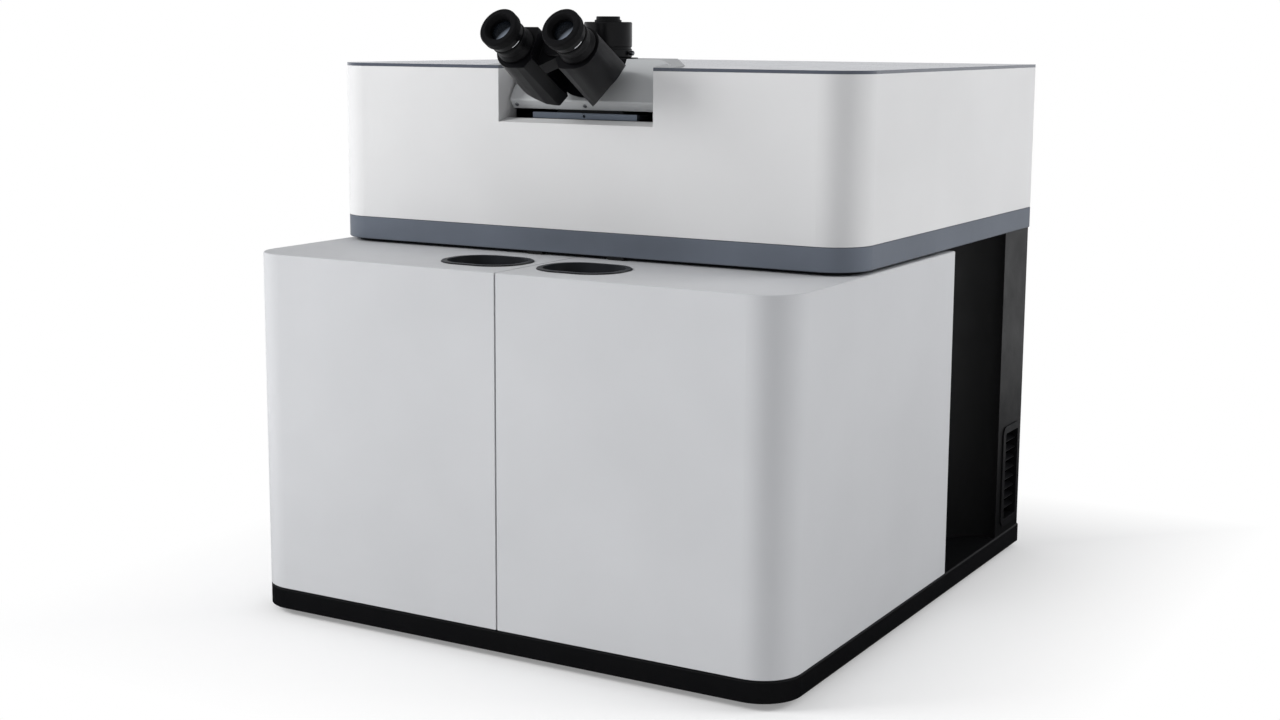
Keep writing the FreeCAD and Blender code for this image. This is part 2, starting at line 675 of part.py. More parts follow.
def fan_guard():
    """Stamped guard: flat rings on a cross, screwed to the panel."""
    y0, y1 = Y_REAR_PANEL, Y_REAR_PANEL + 1.2
    pieces = []
    for radius in (10, 19, 28, FAN_BORE_RADIUS + 2):
        ring = along_y(radius, FAN_X, FAN_Z, y0, y1).cut(along_y(radius - 2.2, FAN_X, FAN_Z, y0 - 1, y1 + 1))
        pieces.append(ring)
    for i in range(2):
        bar = box(FAN_X - FAN_SIZE * 0.6, FAN_X + FAN_SIZE * 0.6, y0, y1, FAN_Z - 1.5, FAN_Z + 1.5)
        bar.rotate(Vector(FAN_X, 0, FAN_Z), Vector(0, 1, 0), 45 + 90 * i)
        pieces.append(bar)
    return joined(pieces)


def power_supply():
    """Vented metal case on the cabinet floor."""
    x0, y1, height = SUPPLY_INSET - HALF_WIDTH, Y_REAR - SUPPLY_SETBACK, SUPPLY_HEIGHT
    x1, y0 = x0 + SUPPLY_WIDTH, y1 - SUPPLY_LENGTH
    z0 = Z_FLOOR
    case = box(x0, x1, y0, y1, z0, z0 + height)
    slots = []
    for i in range(9):
        y = y0 + 16 + i * 16
        slots.append(box(x0 + 20, x1 - 20, y, y + 6, z0 + height - 3, z0 + height))
    case = case.cut(Part.makeCompound(slots))
    return case


# Doors


def door_pair_shell():
    """Both doors before they are parted: front, rounded corners, sides and top shelf."""
    def plan(inset, z0, z1):
        x = HALF_WIDTH - inset
        points = rectangle(-x, x, Y_FRONT + inset, Y_DOOR_END)
        radius = CORNER_RADIUS - inset
        return plan_prism(points, [radius, radius, 0, 0], z0, z1)
    outer = plan(0, Z_DOOR, Z_SHELF)
    high_edges = [e for e in outer.Edges if e.BoundBox.ZMin > Z_SHELF - 0.01]
    top_edges = [e for e in high_edges if e.BoundBox.YMin < Y_DOOR_END - 0.01]
    outer = outer.makeFillet(1.5, top_edges)
    shell = outer.cut(plan(DOOR_WALL, Z_DOOR, Z_SHELF - DOOR_WALL))
    x_open = HALF_WIDTH - FLANGE_WIDTH
    window = plan_prism(rectangle(-x_open, x_open, Y_SHELF_END, Y_DOOR_END + 50), [14, 14, 0, 0],
                        Z_SHELF - 2 * DOOR_WALL, Z_SHELF + 1)
    shell = shell.cut(window)
    lip = plan(DOOR_WALL - 0.5, Z_DOOR, Z_DOOR + DOOR_WALL).cut(plan(BOTTOM_LIP, Z_DOOR - 1,
                                                                     Z_DOOR + 2 * DOOR_WALL))
    return shell.fuse(lip)


def finger_cup_outline(margin):
    w, d = CUP_WIDTH / 2 + margin, CUP_DEPTH_Y / 2 + margin
    points = rectangle(CUP_CENTRE_X - w, CUP_CENTRE_X + w, CUP_Y - d, CUP_Y + d)
    return points, [CUP_CORNER + margin] * 4


def door(pair):
    """Right door; the left one is its mirror image."""
    keep = box(SEAM / 2, HALF_WIDTH + 1, Y_FRONT - 1, Y_DOOR_END + 1, Z_DOOR - 1, Z_SHELF + 1)
    shell = pair.common(keep)
    z0, z1 = Z_DOOR, Z_SHELF
    inner = DOOR_WALL
    seam_flange = box(SEAM / 2, SEAM / 2 + inner, Y_FRONT + inner - 0.5, Y_FRONT + SEAM_FLANGE_DEPTH, z0,
                      z1 - inner + 0.5)
    shelf_flange = box(SEAM / 2, SEAM / 2 + inner, Y_FRONT + inner, Y_SHELF_END, z1 - SEAM_FLANGE_DEPTH,
                       z1 - inner + 0.5)
    rear_flange = box(HALF_WIDTH - FLANGE_WIDTH - 4, HALF_WIDTH - inner + 0.5, Y_DOOR_END - inner,
                      Y_DOOR_END, z0, z1 - inner + 0.5)
    lug_z = Z_FLOOR + LOWER_SHOULDER_HEIGHT
    lug = box(HALF_WIDTH - FLANGE_WIDTH, HALF_WIDTH - inner + 0.5, PIVOT_Y - 15, Y_DOOR_END - inner + 0.5,
              lug_z, lug_z + LUG_THICKNESS)
    shell = joined([shell, seam_flange, shelf_flange, rear_flange, lug])
    shell = shell.cut(upright(PIN_RADIUS + RUNNING_FIT, PIVOT_X, PIVOT_Y, lug_z - 1, Z_SHELF + 1))
    shell = shell.cut(upright(PIN_SHOULDER_RADIUS + 1, PIVOT_X, PIVOT_Y, Z_DOOR - 1, lug_z))
    points, radii = finger_cup_outline(0)
    return shell.cut(plan_prism(points, radii, Z_SHELF - 2 * inner, Z_SHELF + 1))


def finger_cup():
    """Sunk cup with a bevelled rim that laps the shelf."""
    points, radii = finger_cup_outline(-FREE_GAP)
    body = plan_prism(points, radii, Z_SHELF - CUP_SINK, Z_SHELF)
    rim_points, rim_radii = finger_cup_outline(CUP_RIM_WIDTH)
    rim = plan_prism(rim_points, rim_radii, Z_SHELF, Z_SHELF + CUP_RIM_HEIGHT)
    outer_edges = [e for e in rim.Edges if e.BoundBox.ZMin > Z_SHELF + CUP_RIM_HEIGHT - 0.01]
    rim = rim.makeChamfer(CUP_RIM_HEIGHT * 0.75, outer_edges)
    low_points, low_radii = finger_cup_outline(-FREE_GAP - CUP_WALL - 5)
    high_points, high_radii = finger_cup_outline(-FREE_GAP - CUP_WALL)
    z_low = Z_SHELF - CUP_SINK + CUP_WALL
    hollow = Part.makeLoft([rounded_wire(low_points, low_radii, flat(z_low)),
                            rounded_wire(high_points, high_radii,
                                         flat(Z_SHELF + CUP_RIM_HEIGHT + 0.1))], True, True)
    return body.fuse(rim).cut(hollow)


def door_hinge_pins():
    lug_z = Z_FLOOR + LOWER_SHOULDER_HEIGHT
    low = upright(PIN_SHOULDER_RADIUS, PIVOT_X, PIVOT_Y, Z_FLOOR, lug_z)
    low = low.fuse(upright(PIN_RADIUS, PIVOT_X, PIVOT_Y, lug_z, lug_z + LUG_THICKNESS + PIN_LENGTH_PAST_LUG))
    high = upright(PIN_SHOULDER_RADIUS, PIVOT_X, PIVOT_Y, Z_SHELF + FREE_GAP, Z_PLATE)
    high = high.fuse(upright(PIN_RADIUS, PIVOT_X, PIVOT_Y, Z_SHELF - DOOR_WALL - PIN_LENGTH_PAST_LUG,
                             Z_SHELF + FREE_GAP))
    return Part.makeCompound([both_sides(low), both_sides(high)])


def door_catches():
    """Magnet catches with their door switches; each holds the steel shelf of its door."""
    catch = box(CATCH_X - CATCH_WIDTH / 2, CATCH_X + CATCH_WIDTH / 2, CATCH_Y - CATCH_DEPTH / 2,
                CATCH_Y + CATCH_DEPTH / 2,
                Z_SHELF + FREE_GAP, Z_PLATE)
    catch = catch.makeChamfer(0.8, [e for e in catch.Edges if e.BoundBox.ZMax < Z_SHELF + FREE_GAP + 0.01])
    return both_sides(catch)


def light_seal():
    """Foam strip that follows the front and sides of the base plate."""
    outer = body_outline(Y_UPPER, SEAL_INSET, Z_SHELF + FREE_GAP, Z_PLATE)
    inner = body_outline(Y_UPPER, SEAL_INSET + SEAL_WIDTH, Z_SHELF, Z_PLATE + 1)
    behind = box(-HALF_WIDTH, HALF_WIDTH, SEAL_END_Y, Y_REAR, Z_SHELF, Z_PLATE + 1)
    return outer.cut(inner).cut(behind)


def frame_posts():
    half = POST_SIZE / 2
    tube = plan_prism(rectangle(POST_X - half, POST_X + half, POST_Y - half, POST_Y + half), [4] * 4,
                      Z_FLOOR, Z_PLATE)
    inner = half - POST_WALL
    tube = tube.cut(plan_prism(rectangle(POST_X - inner, POST_X + inner, POST_Y - inner, POST_Y + inner),
                               [1.5] * 4,
                               Z_FLOOR + POST_FOOT, Z_PLATE - POST_FOOT))
    return both_sides(tube)


# Sample stage


def focus_column():
    """Cast upright with a foot, two gussets and a guide rail on its front."""
    y = COLUMN_Y
    foot = plan_prism(rectangle(-78, 78, y - 52, y + 54), [14] * 4, Z_FLOOR, Z_FLOOR + 14)
    upright_block = plan_prism(rectangle(-42, 42, y, y + 40), [6] * 4, Z_FLOOR + 13, 308)
    back_pocket = box(-30, 30, y + 16, y + 41, Z_FLOOR + 40, 290)
    rail = box(-20, 20, y - 8, y + 1, 120, 304)
    rail_waist = [box(-20, -15, y - 5, y, 119, 305), box(15, 20, y - 5, y, 119, 305)]
    gussets = []
    for side in (-1, 1):
        x0, x1 = sorted((side * 42, side * 34))
        gussets.append(side_prism([(y, Z_FLOOR + 13), (y, 150), (y - 40, Z_FLOOR + 13)], x0, x1))
    body = joined([foot, upright_block] + gussets).cut(back_pocket)
    return body.fuse(rail).cut(Part.makeCompound(rail_waist)).removeSplitter()


def z_carriage():
    """Focus slide: a plate on the column rail, a ribbed arm and two rails on top of it."""
    arm_bottom = ARM_TOP - ARM_THICKNESS
    y = COLUMN_Y
    plate = box(-40, 40, y - 26, y - FREE_GAP, 190, 290)
    groove = box(-20 - FREE_GAP, 20 + FREE_GAP, y - 8 - FREE_GAP, y, 189, 291)
    plate = plate.cut(groove)
    tongues = [box(-20 - FREE_GAP, -15 - FREE_GAP, y - 5 + FREE_GAP, y - FREE_GAP, 190, 290),
               box(15 + FREE_GAP, 20 + FREE_GAP, y - 5 + FREE_GAP, y - FREE_GAP, 190, 290)]
    arm = plan_prism(rectangle(-60, 60, y - 185, y - 20), [10, 10, 0, 0], arm_bottom, ARM_TOP)
    arm = arm.cut(plan_prism(rectangle(-28, 28, y - 172, y - 60), [8] * 4, arm_bottom - 1, ARM_TOP + 1))
    arm = arm.cut(groove)
    rib = side_prism([(y - 26, 190), (y - 20, 190), (y - 20, arm_bottom + 1), (y - 150, arm_bottom + 1),
                      (y - 150, arm_bottom - 4)], 32, 40)
    rails = [box(36, 48, y - 180, y - 40, ARM_TOP - 1, ARM_TOP + RAIL_HEIGHT)]
    wing = box(38, 92, y - 26, y - 20, 228, 274)
    pieces = [plate, arm, rib, mirrored(rib)] + rails + [mirrored(r) for r in rails] + [wing] + tongues
    body = joined(pieces)
    rod_hole = along_y(ROD_RADIUS + 2, y_rod_x(), y_rod_z(), y - 30, y - 10)
    body = body.cut(rod_hole)
    drive_rod = upright(ROD_RADIUS, 0, y - 17, 80, 191)
    return body.fuse(drive_rod).removeSplitter()


def y_rod_x():
    return 74.0


def y_rod_z():
    return ARM_TOP + FREE_GAP + Y_CARRIAGE_THICKNESS / 2


def y_motor():
    half = MOTOR_SIZE / 2
    x, y, z = y_rod_x(), COLUMN_Y, y_rod_z()
    body = front_prism(rectangle(x - half, x + half, z - half, z + half), [4] * 4, y - 20, y + 16)
    return body.cut(along_y(ROD_RADIUS + RUNNING_FIT, x, z, y - 21, y + 17))


def y_levels():
    z0 = ARM_TOP + FREE_GAP
    return z0, z0 + Y_CARRIAGE_THICKNESS


def y_carriage():
    """Middle stage plate: runs on the arm's rails and carries cross rails and the X motor bracket."""
    z0, z1 = y_levels()
    plate = plan_prism(rectangle(-80, 80, OPTICAL_Y - 63, OPTICAL_Y + 63), [5] * 4, z0, z1)
    plate = plate.cut(plan_prism(rectangle(-26, 26, OPTICAL_Y - 26, OPTICAL_Y + 26), [6] * 4, z0 - 1, z1 + 1))
    gap = FREE_GAP
    for side in (-1, 1):
        x0, x1 = sorted((side * (36 - gap), side * (48 + gap)))
        plate = plate.cut(box(x0, x1, OPTICAL_Y - 72, OPTICAL_Y + 68, z0 - 1, z0 + RAIL_HEIGHT))
    rails = [box(-78, 78, OPTICAL_Y + dy - 5, OPTICAL_Y + dy + 5, z1 - 1, z1 + RAIL_HEIGHT) for dy in (-34,
                                                                                                       34)]
    tongue = box(78, 138, OPTICAL_Y - 18, OPTICAL_Y + 18, z0 + 2, z1 - 1)
    end_plate = box(132, 138, OPTICAL_Y - 18, OPTICAL_Y + 18, z0 + 2, z1 + 32)
    drive_rod = along_y(ROD_RADIUS, y_rod_x(), y_rod_z(), COLUMN_Y - 56, COLUMN_Y + 8)
    body = joined([plate] + rails + [tongue, end_plate, drive_rod])
    return body.cut(along_x(ROD_RADIUS + 2, OPTICAL_Y, x_rod_z(), 130, 140))


def x_rod_z():
    return y_levels()[1] + FREE_GAP + X_CARRIAGE_THICKNESS / 2


def x_motor():
    half = MOTOR_SIZE / 2
    x0, x1 = 138.0, 174.0
    body = plan_prism(rectangle(x0, x1, OPTICAL_Y - half, OPTICAL_Y + half), [3] * 4, x_rod_z() - half,
                      x_rod_z() + half)
    return body.cut(along_x(ROD_RADIUS + RUNNING_FIT, OPTICAL_Y, x_rod_z(), x0 - 1, x1 + 1))


def x_carriage():
    z0 = y_levels()[1] + FREE_GAP
    z1 = z0 + X_CARRIAGE_THICKNESS
    plate = plan_prism(rectangle(-95, 95, OPTICAL_Y - 52, OPTICAL_Y + 52), [6] * 4, z0, z1)
    for dy in (-34, 34):
        y = OPTICAL_Y + dy
        plate = plate.cut(box(-100, 100, y - 5 - FREE_GAP, y + 5 + FREE_GAP, z0 - 1, z0 + RAIL_HEIGHT))
    drive_rod = along_x(ROD_RADIUS, OPTICAL_Y, x_rod_z(), 94, 178)
    return plate.fuse(drive_rod).removeSplitter()


def holder_levels():
    z0 = y_levels()[1] + FREE_GAP + X_CARRIAGE_THICKNESS
    return z0, z0 + HOLDER_THICKNESS


def sample_holder():
    z0, z1 = holder_levels()
    holder = plan_prism(rectangle(-64, 64, OPTICAL_Y - 32, OPTICAL_Y + 32), [6] * 4, z0, z1)
    w, d = SLIDE_LENGTH / 2 + FREE_GAP, SLIDE_WIDTH / 2 + FREE_GAP
    seat = box(-w, w, OPTICAL_Y - d, OPTICAL_Y + d, z1 - SLIDE_THICKNESS, z1 + 1)
    thumb = upright(9, 0, OPTICAL_Y - d - 2, z1 - 2.5, z1 + 1)
    return holder.cut(seat).cut(thumb)


def z_motor():
    z0 = Z_FLOOR + 14
    half = 21.0
    y = COLUMN_Y
    body = plan_prism(rectangle(-half, half, y - 46, y - 4), [5] * 4, z0, z0 + 50)
    return body.cut(upright(ROD_RADIUS + RUNNING_FIT, 0, y - 17, z0 + 2, z0 + 51))


# Objective turret


def turret_frame():
    tilt = math.radians(TURRET_TILT)
    apex = Vector(0, OPTICAL_Y, Z_TURRET_APEX)
    axis = Vector(0, math.sin(tilt), -math.cos(tilt))
    return apex, axis


def turret_top():
    """Distance from the apex to the turret's flat top, along its axis."""
    return MOUNT_DISTANCE * math.cos(math.radians(TURRET_TILT)) - TURRET_THICKNESS


def nosepiece_turret():
    """Domed disc with one angled seat for each objective and a notched grip ring."""
    apex, axis = turret_frame()
    tilt = math.radians(TURRET_TILT)
    top = turret_top()
    low_centre = MOUNT_DISTANCE / math.cos(tilt)
    def cone_at(radius):
        return low_centre - radius * math.tan(tilt)
    rim = TURRET_RADIUS
    points = [(0, top), (rim, top), (rim, cone_at(rim)), (10, cone_at(10)), (0, cone_at(10))]
    disc = revolved(points, apex, axis)
    notches = []
    for i in range(GRIP_NOTCHES):
        notch = rod(2.0, apex + axis * (top - 1) + Vector(rim + 0.9, 0, 0), axis, TURRET_THICKNESS + 8)
        notch.rotate(apex, axis, 360.0 * i / GRIP_NOTCHES)
        notches.append(notch)
    disc = disc.cut(Part.makeCompound(notches))
    for i in range(OBJECTIVE_COUNT):
        socket = upright(THREAD_RADIUS, 0, OPTICAL_Y, Z_OBJECTIVE_FACE - 10, Z_TURRET_APEX - 40)
        socket.rotate(apex, axis, 360.0 * i / OBJECTIVE_COUNT)
        disc = disc.cut(socket)
    return disc.cut(rod(TURRET_PIN_RADIUS + RUNNING_FIT, apex, axis, low_centre - 4))


def objective(length, step):
    """Stepped barrel that screws into the turret and narrows to its front lens."""
    apex, axis = turret_frame()
    face = Z_OBJECTIVE_FACE
    r = OBJECTIVE_RADIUS
    thread = THREAD_RADIUS - 0.1
    shoulder = 0.42 * length
    points = [(0, -6), (thread, -6), (thread, 0), (r - 1, 0), (r, 1.2), (r, shoulder),
              (r - 1.2, shoulder + 1.2), (r - 1.2, shoulder + 3.2), (r - 0.4, shoulder + 4),
              (r - 0.4, 0.72 * length), (5.2, length - 1), (4.2, length), (0, length)]
    barrel = revolved(points, Vector(0, OPTICAL_Y, face), Vector(0, 0, -1))
    barrel.rotate(apex, axis, 360.0 * step / OBJECTIVE_COUNT)
    return barrel


def nosepiece_mount():
    """Fixed half of the nosepiece: a slanted drum under the base plate with the turret's pivot pin."""
    apex, axis = turret_frame()
    face = turret_top() - FREE_GAP
    drum = rod(34, apex, axis, face)
    drum = drum.common(box(-60, 60, OPTICAL_Y - 60, OPTICAL_Y + 90, Z_OBJECTIVE_FACE, Z_PLATE))
    pin_length = MOUNT_DISTANCE / math.cos(math.radians(TURRET_TILT)) - 6
    pin = rod(TURRET_PIN_RADIUS, apex + axis * (face - 4), axis, pin_length - face + 4)
    light_bore = upright(LIGHT_BORE_RADIUS, 0, OPTICAL_Y, Z_OBJECTIVE_FACE, Z_PLATE + 1)
    return drum.cut(light_bore).fuse(pin).removeSplitter()


# Base plate and upper housing


def optical_base_plate():
    plate = body_outline(Y_UPPER, 0, Z_PLATE, Z_DECK)
    rim_edges = [e for e in plate.Edges
                 if e.BoundBox.ZMin > Z_DECK - 0.01 or e.BoundBox.ZMax < Z_PLATE + 0.01]
    plate = plate.makeChamfer(0.8, rim_edges)
    return plate.cut(upright(LIGHT_BORE_RADIUS, 0, OPTICAL_Y, Z_PLATE - 1, Z_DECK + 1))


def upper_housing():
    """Cover over the optics, with the notch and its inner tray."""
    outer = body_outline(Y_UPPER, 0, Z_DECK, Z_LID)
    shell = outer.cut(body_outline(Y_UPPER, HOUSING_WALL, Z_DECK, Z_LID - HOUSING_WALL))
    shell = shell.cut(body_outline(Y_UPPER, LID_FLANGE, Z_LID - 2 * HOUSING_WALL, Z_LID + 1))
    x, wall = NOTCH_HALF_WIDTH, NOTCH_WALL
    y_back = Y_UPPER + NOTCH_DEPTH
    shell = shell.cut(box(-x, x, Y_UPPER - 1, Y_UPPER + LID_FLANGE + 5, Z_NOTCH, Z_LID + 1))
    floor = box(-x - wall, x + wall, Y_UPPER + 1, Y_UPPER + 16, Z_NOTCH - wall, Z_NOTCH)
    cheek = box(x, x + wall, Y_UPPER + 1, y_back, Z_NOTCH - wall, Z_LID)
    return joined([shell, floor, cheek, mirrored(cheek)])


def lid_notch_points(margin):
    x = NOTCH_HALF_WIDTH - margin
    y_mid = Y_UPPER + NOTCH_DEPTH - 8
    x_end = x - LID_NOTCH_TAPER
    y_end = OPTICAL_Y + 36
    return [(-x, Y_UPPER - 5), (x, Y_UPPER - 5), (x, y_mid),
            (x_end, y_end - margin), (-x_end, y_end - margin), (-x, y_mid)]


def lid():
    cover = body_outline(Y_UPPER, 0, Z_LID, Z_LID_TOP)
    notch = plan_prism(lid_notch_points(0), [0] * 6, Z_LID - 1, Z_LID_TOP + 1)
    return cover.cut(notch)


def cowl_line():
    """Front of the cowl, from its lower lip up over the crest, in Y and Z."""
    lip_y = Y_UPPER + 24
    front_y = Y_UPPER + 17.5
    z = Z_COWL
    crest = Z_LID_TOP + COWL_RISE
    return [(lip_y, z), (front_y, z + 8), (front_y, z + 9.5), (Y_UPPER + 29, z + 28), (Y_UPPER + 44, crest),
            (OPTICAL_Y + 48, crest)]


def cowl():
    """Folded cover behind the notch: undercut lip, sloping face and a low crest over the lid."""
    outer = cowl_line()
    back_y = outer[-1][0]
    x_in = NOTCH_HALF_WIDTH - COWL_SIDE_GAP
    low = side_prism(outer + [(back_y, Z_COWL)], -x_in, x_in)
    shell_inner = [(y + COWL_THICKNESS, z - COWL_THICKNESS) for y, z in outer[:-1]]
    ceiling = outer[-1][1] - COWL_THICKNESS
    inside = [(shell_inner[0][0], Z_COWL - 1)] + shell_inner[1:]
    inside += [(back_y + 1, ceiling), (back_y + 1, Z_COWL - 1)]
    hollow = side_prism(inside, -x_in + COWL_THICKNESS, x_in - COWL_THICKNESS)
    low = low.cut(hollow)
    below_lid = plan_prism(lid_notch_points(COWL_SIDE_GAP), [0] * 6, Z_COWL - 1, Z_LID_TOP)
    low = low.common(below_lid)
    crest_z = outer[-1][1]
    wide, low_back = NOTCH_HALF_WIDTH + CREST_OVERLAP, NOTCH_HALF_WIDTH - CREST_TAPER
    high, high_back = NOTCH_HALF_WIDTH - CREST_OVERLAP, low_back - 6
    foot = [(-wide, Y_UPPER + 1), (wide, Y_UPPER + 1), (low_back, back_y), (-low_back, back_y)]
    top = [(-high, outer[4][0]), (high, outer[4][0]), (high_back, back_y - 5), (-high_back, back_y - 5)]
    hump = Part.makeLoft([rounded_wire(foot, [0] * 4, flat(Z_LID_TOP)),
                          rounded_wire(top, [0] * 4, flat(crest_z))], True, True)
    crest_y = outer[4][0]
    ahead = [(Y_UPPER - 5, Z_LID_TOP - 1), (Y_UPPER - 5, crest_z + 1), (crest_y + 0.6, crest_z + 1),
             (crest_y, crest_z), slope_point(outer, Z_LID_TOP - 1)]
    in_front = side_prism(ahead, -NOTCH_HALF_WIDTH, NOTCH_HALF_WIDTH)
    hump = hump.cut(in_front)
    inner, inner_back = low_back - 2, low_back - 12
    room = [(-inner, outer[4][0] + 6), (inner, outer[4][0] + 6), (inner_back, back_y - 8),
            (-inner_back, back_y - 8)]
    hump = hump.cut(plan_prism(room, [0] * 4, Z_LID_TOP - 1, crest_z - COWL_THICKNESS))
    cover = low.fuse(hump)
    neck = along_y(NECK_RADIUS + 1, 0, Z_COWL + 13 + NECK_RADIUS, Y_UPPER - 10, OPTICAL_Y)
    drum = upright(PHOTO_TUBE_RADIUS + 7, 0, OPTICAL_Y, Z_COWL - 5, crest_z + 5)
    return cover.cut(neck).cut(drum).removeSplitter()


def slope_point(line, z):
    """Point of the cowl's sloping face at a height."""
    (y0, z0), (y1, z1) = line[3], line[4]
    return (y0 + (y1 - y0) * (z - z0) / (z1 - z0), z)


def cowl_screws():
    screws = []
    lip_y, front_y = cowl_line()[0][0], cowl_line()[1][0]
    normal = Vector(0, -8, -(lip_y - front_y))
    normal.normalize()
    middle = Vector(0, (lip_y + front_y) / 2, Z_COWL + 4)
    side_x = NOTCH_HALF_WIDTH - COWL_SCREW_INSET
    for x in (-side_x, 0, side_x):
        head = revolved([(0, 0), (2.0, 0), (2.0, 0.7), (1.3, 1.1), (0, 1.1)], Vector(x, middle.y, middle.z),
                        normal)
        screws.append(head)
    return Part.makeCompound(screws)


def beam_tower():
    """Block over the light bore that carries the head; the filter slider passes through it."""
    z0, z1 = Z_DECK, Z_COWL + 5
    tower = plan_prism(rectangle(-40, 40, OPTICAL_Y - 36, OPTICAL_Y + 44), [5] * 4, z0, z1)
    tower = tower.cut(upright(LIGHT_BORE_RADIUS + 3, 0, OPTICAL_Y, z0 - 1, z1 + 1))
    z_slot = slider_level()
    gap = FREE_GAP
    slot = box(-60, 60, OPTICAL_Y - 45, OPTICAL_Y + 22, z_slot - gap, z_slot + SLIDER_THICKNESS + gap)
    return tower.cut(slot)


def slider_level():
    return Z_NOTCH + 5.0


def filter_slider():
    """Thin slide with three round seats, two of them glazed, and a thicker bar that shows in the slot."""
    z0 = slider_level()
    z1 = z0 + SLIDER_THICKNESS
    plate = plan_prism(rectangle(-SLIDER_HALF_WIDTH + 2, SLIDER_HALF_WIDTH - 2, Y_UPPER + 24,
                                 OPTICAL_Y + 20), [4] * 4, z0, z1)
    bar = box(-SLIDER_HALF_WIDTH, SLIDER_HALF_WIDTH, Y_UPPER + 19, Y_UPPER + 24.1, z0 - 1, z1 + 1)
    body = plate.fuse(bar)
    body = body.cut(along_y(1.6, 0, (z0 + z1) / 2, Y_UPPER + 10, Y_UPPER + 22))
    for x in (-SLIDER_TRAVEL, 0, SLIDER_TRAVEL):
        body = body.cut(upright(FILTER_RADIUS, x, OPTICAL_Y, z0 + 0.8, z1 + 1))
        body = body.cut(upright(FILTER_RADIUS - 1.5, x, OPTICAL_Y, z0 - 1, z1 + 1))
    glass = [upright(FILTER_RADIUS, x, OPTICAL_Y, z0 + 0.8, z0 + 3.2) for x in (-SLIDER_TRAVEL,
                                                                                SLIDER_TRAVEL)]
    return Part.makeCompound([body] + glass)


# Binocular head


def head_point(x, s, n):
    front = Vector(x, EYE_FRONT_Y, EYE_FRONT_Z)
    return front + EYE_S * s + EYE_N * n


def head_rod(radius, x, n, s0, s1):
    return rod(radius, head_point(x, s0, n), EYE_S, s1 - s0)


def head_section(points, radii, s):
    origin = head_point(0, s, 0)
    return rounded_wire(points, radii, lambda p: origin + Vector(p.x, 0, 0) + EYE_N * p.y)


def prism_housing(lug_start):
    """Right prism housing: wider and cut off at a slant behind, it swings on its hinge arm."""
    x = EYE_HALF_SPACING
    front = head_section([c[:2] for c in HOUSING_FRONT], [c[2] for c in HOUSING_FRONT], HOUSING_START)
    rear = head_section([c[:2] for c in HOUSING_REAR], [c[2] for c in HOUSING_REAR], HOUSING_END)
    body = Part.makeLoft([front, rear], True, True)
    body = body.cut(behind_slant())
    lug_end = lug_start + HINGE_LUG_LENGTH
    lug = head_rod(HINGE_LUG_RADIUS, 0, HINGE_RISE, lug_start, lug_end)
    body = joined([body, lug, hinge_arm(lug_start, lug_end)])
    body = body.cut(head_rod(HINGE_PIN_RADIUS + RUNNING_FIT, 0, HINGE_RISE, lug_start - 1, lug_end + 1))
    body = body.cut(head_rod(COLLAR_RADIUS, x, 0, HOUSING_START - 1, HOUSING_START + 2))
    body = body.fuse(head_rod(COLLAR_RADIUS, x, 0, BARREL_END + FREE_GAP, HOUSING_START + 2))
    return body.cut(head_rod(TUBE_RADIUS + RUNNING_FIT, x, 0, BARREL_END - 1,
                             HOUSING_START + TUBE_SEAT)).removeSplitter()


def behind_slant():
    """All that lies behind the slanting rear face of the right housing."""
    def on_face(x, n):
        return head_point(x, SLANT_START - SLANT_ACROSS * x + SLANT_UP * n, n)
    corners = [on_face(x, n) for x, n in ((-60, -90), (140, -90), (140, 90), (-60, 90))]
    face = Part.Face(Part.makePolygon(corners + [corners[0]]))
    return face.extrude(EYE_S * 200)


def hinge_arm(start, end):
    """Arm from the lug to the housing, tangent to the lug above and below."""
    corner_x, corner_n = HOUSING_REAR[-1][0], HOUSING_REAR[-1][1]
    reach = math.hypot(corner_x, corner_n - HINGE_RISE)
    towards = math.atan2(HINGE_RISE - corner_n, -corner_x)
    open_angle = math.asin(HINGE_LUG_RADIUS / reach)
    length = math.sqrt(reach ** 2 - HINGE_LUG_RADIUS ** 2)
    low_x = corner_x + length * math.cos(towards + open_angle)
    low_n = corner_n + length * math.sin(towards + open_angle)
    top_n = HINGE_RISE + HINGE_LUG_RADIUS
    inner_x, inner_top = HOUSING_FRONT[4][0], HOUSING_FRONT[4][1]
    outline = [(0, HINGE_RISE), (low_x, low_n), (corner_x, corner_n), (inner_x + 4, corner_n + 4),
               (inner_x + 4, inner_top), (0, top_n)]
    return Part.Face(head_section(outline, [0] * len(outline), start)).extrude(EYE_S * (end - start))


def eyepiece():
    """Right eyepiece barrel with the tube that slips into the housing."""
    x = EYE_HALF_SPACING
    axis_base = head_point(x, 0, 0)
    start = EYECUP_HOLLOW + 4
    end = HOUSING_START + TUBE_SEAT
    points = [(0, start), (EYE_LENS_RADIUS + 2, start), (EYE_LENS_RADIUS + 2, EYECUP_LENGTH),
              (BARREL_RADIUS - 1, EYECUP_LENGTH), (BARREL_RADIUS, EYECUP_LENGTH + 1),
              (BARREL_RADIUS, BARREL_END - 1), (BARREL_RADIUS - 1, BARREL_END),
              (TUBE_RADIUS, BARREL_END), (TUBE_RADIUS, end), (0, end)]
    return revolved(points, axis_base, EYE_S)


def eye_lens():
    """Outer lens, domed on the eye's side."""
    x = EYE_HALF_SPACING
    r, sag = EYE_LENS_RADIUS, EYE_LENS_SAG
    back = EYECUP_HOLLOW + 4
    front = back - sag - 1
    curve = (r ** 2 + sag ** 2) / (2 * sag)
    ball = Part.makeSphere(curve, head_point(x, front + curve, 0))
    return head_rod(r, x, 0, front - 1, back).common(ball)


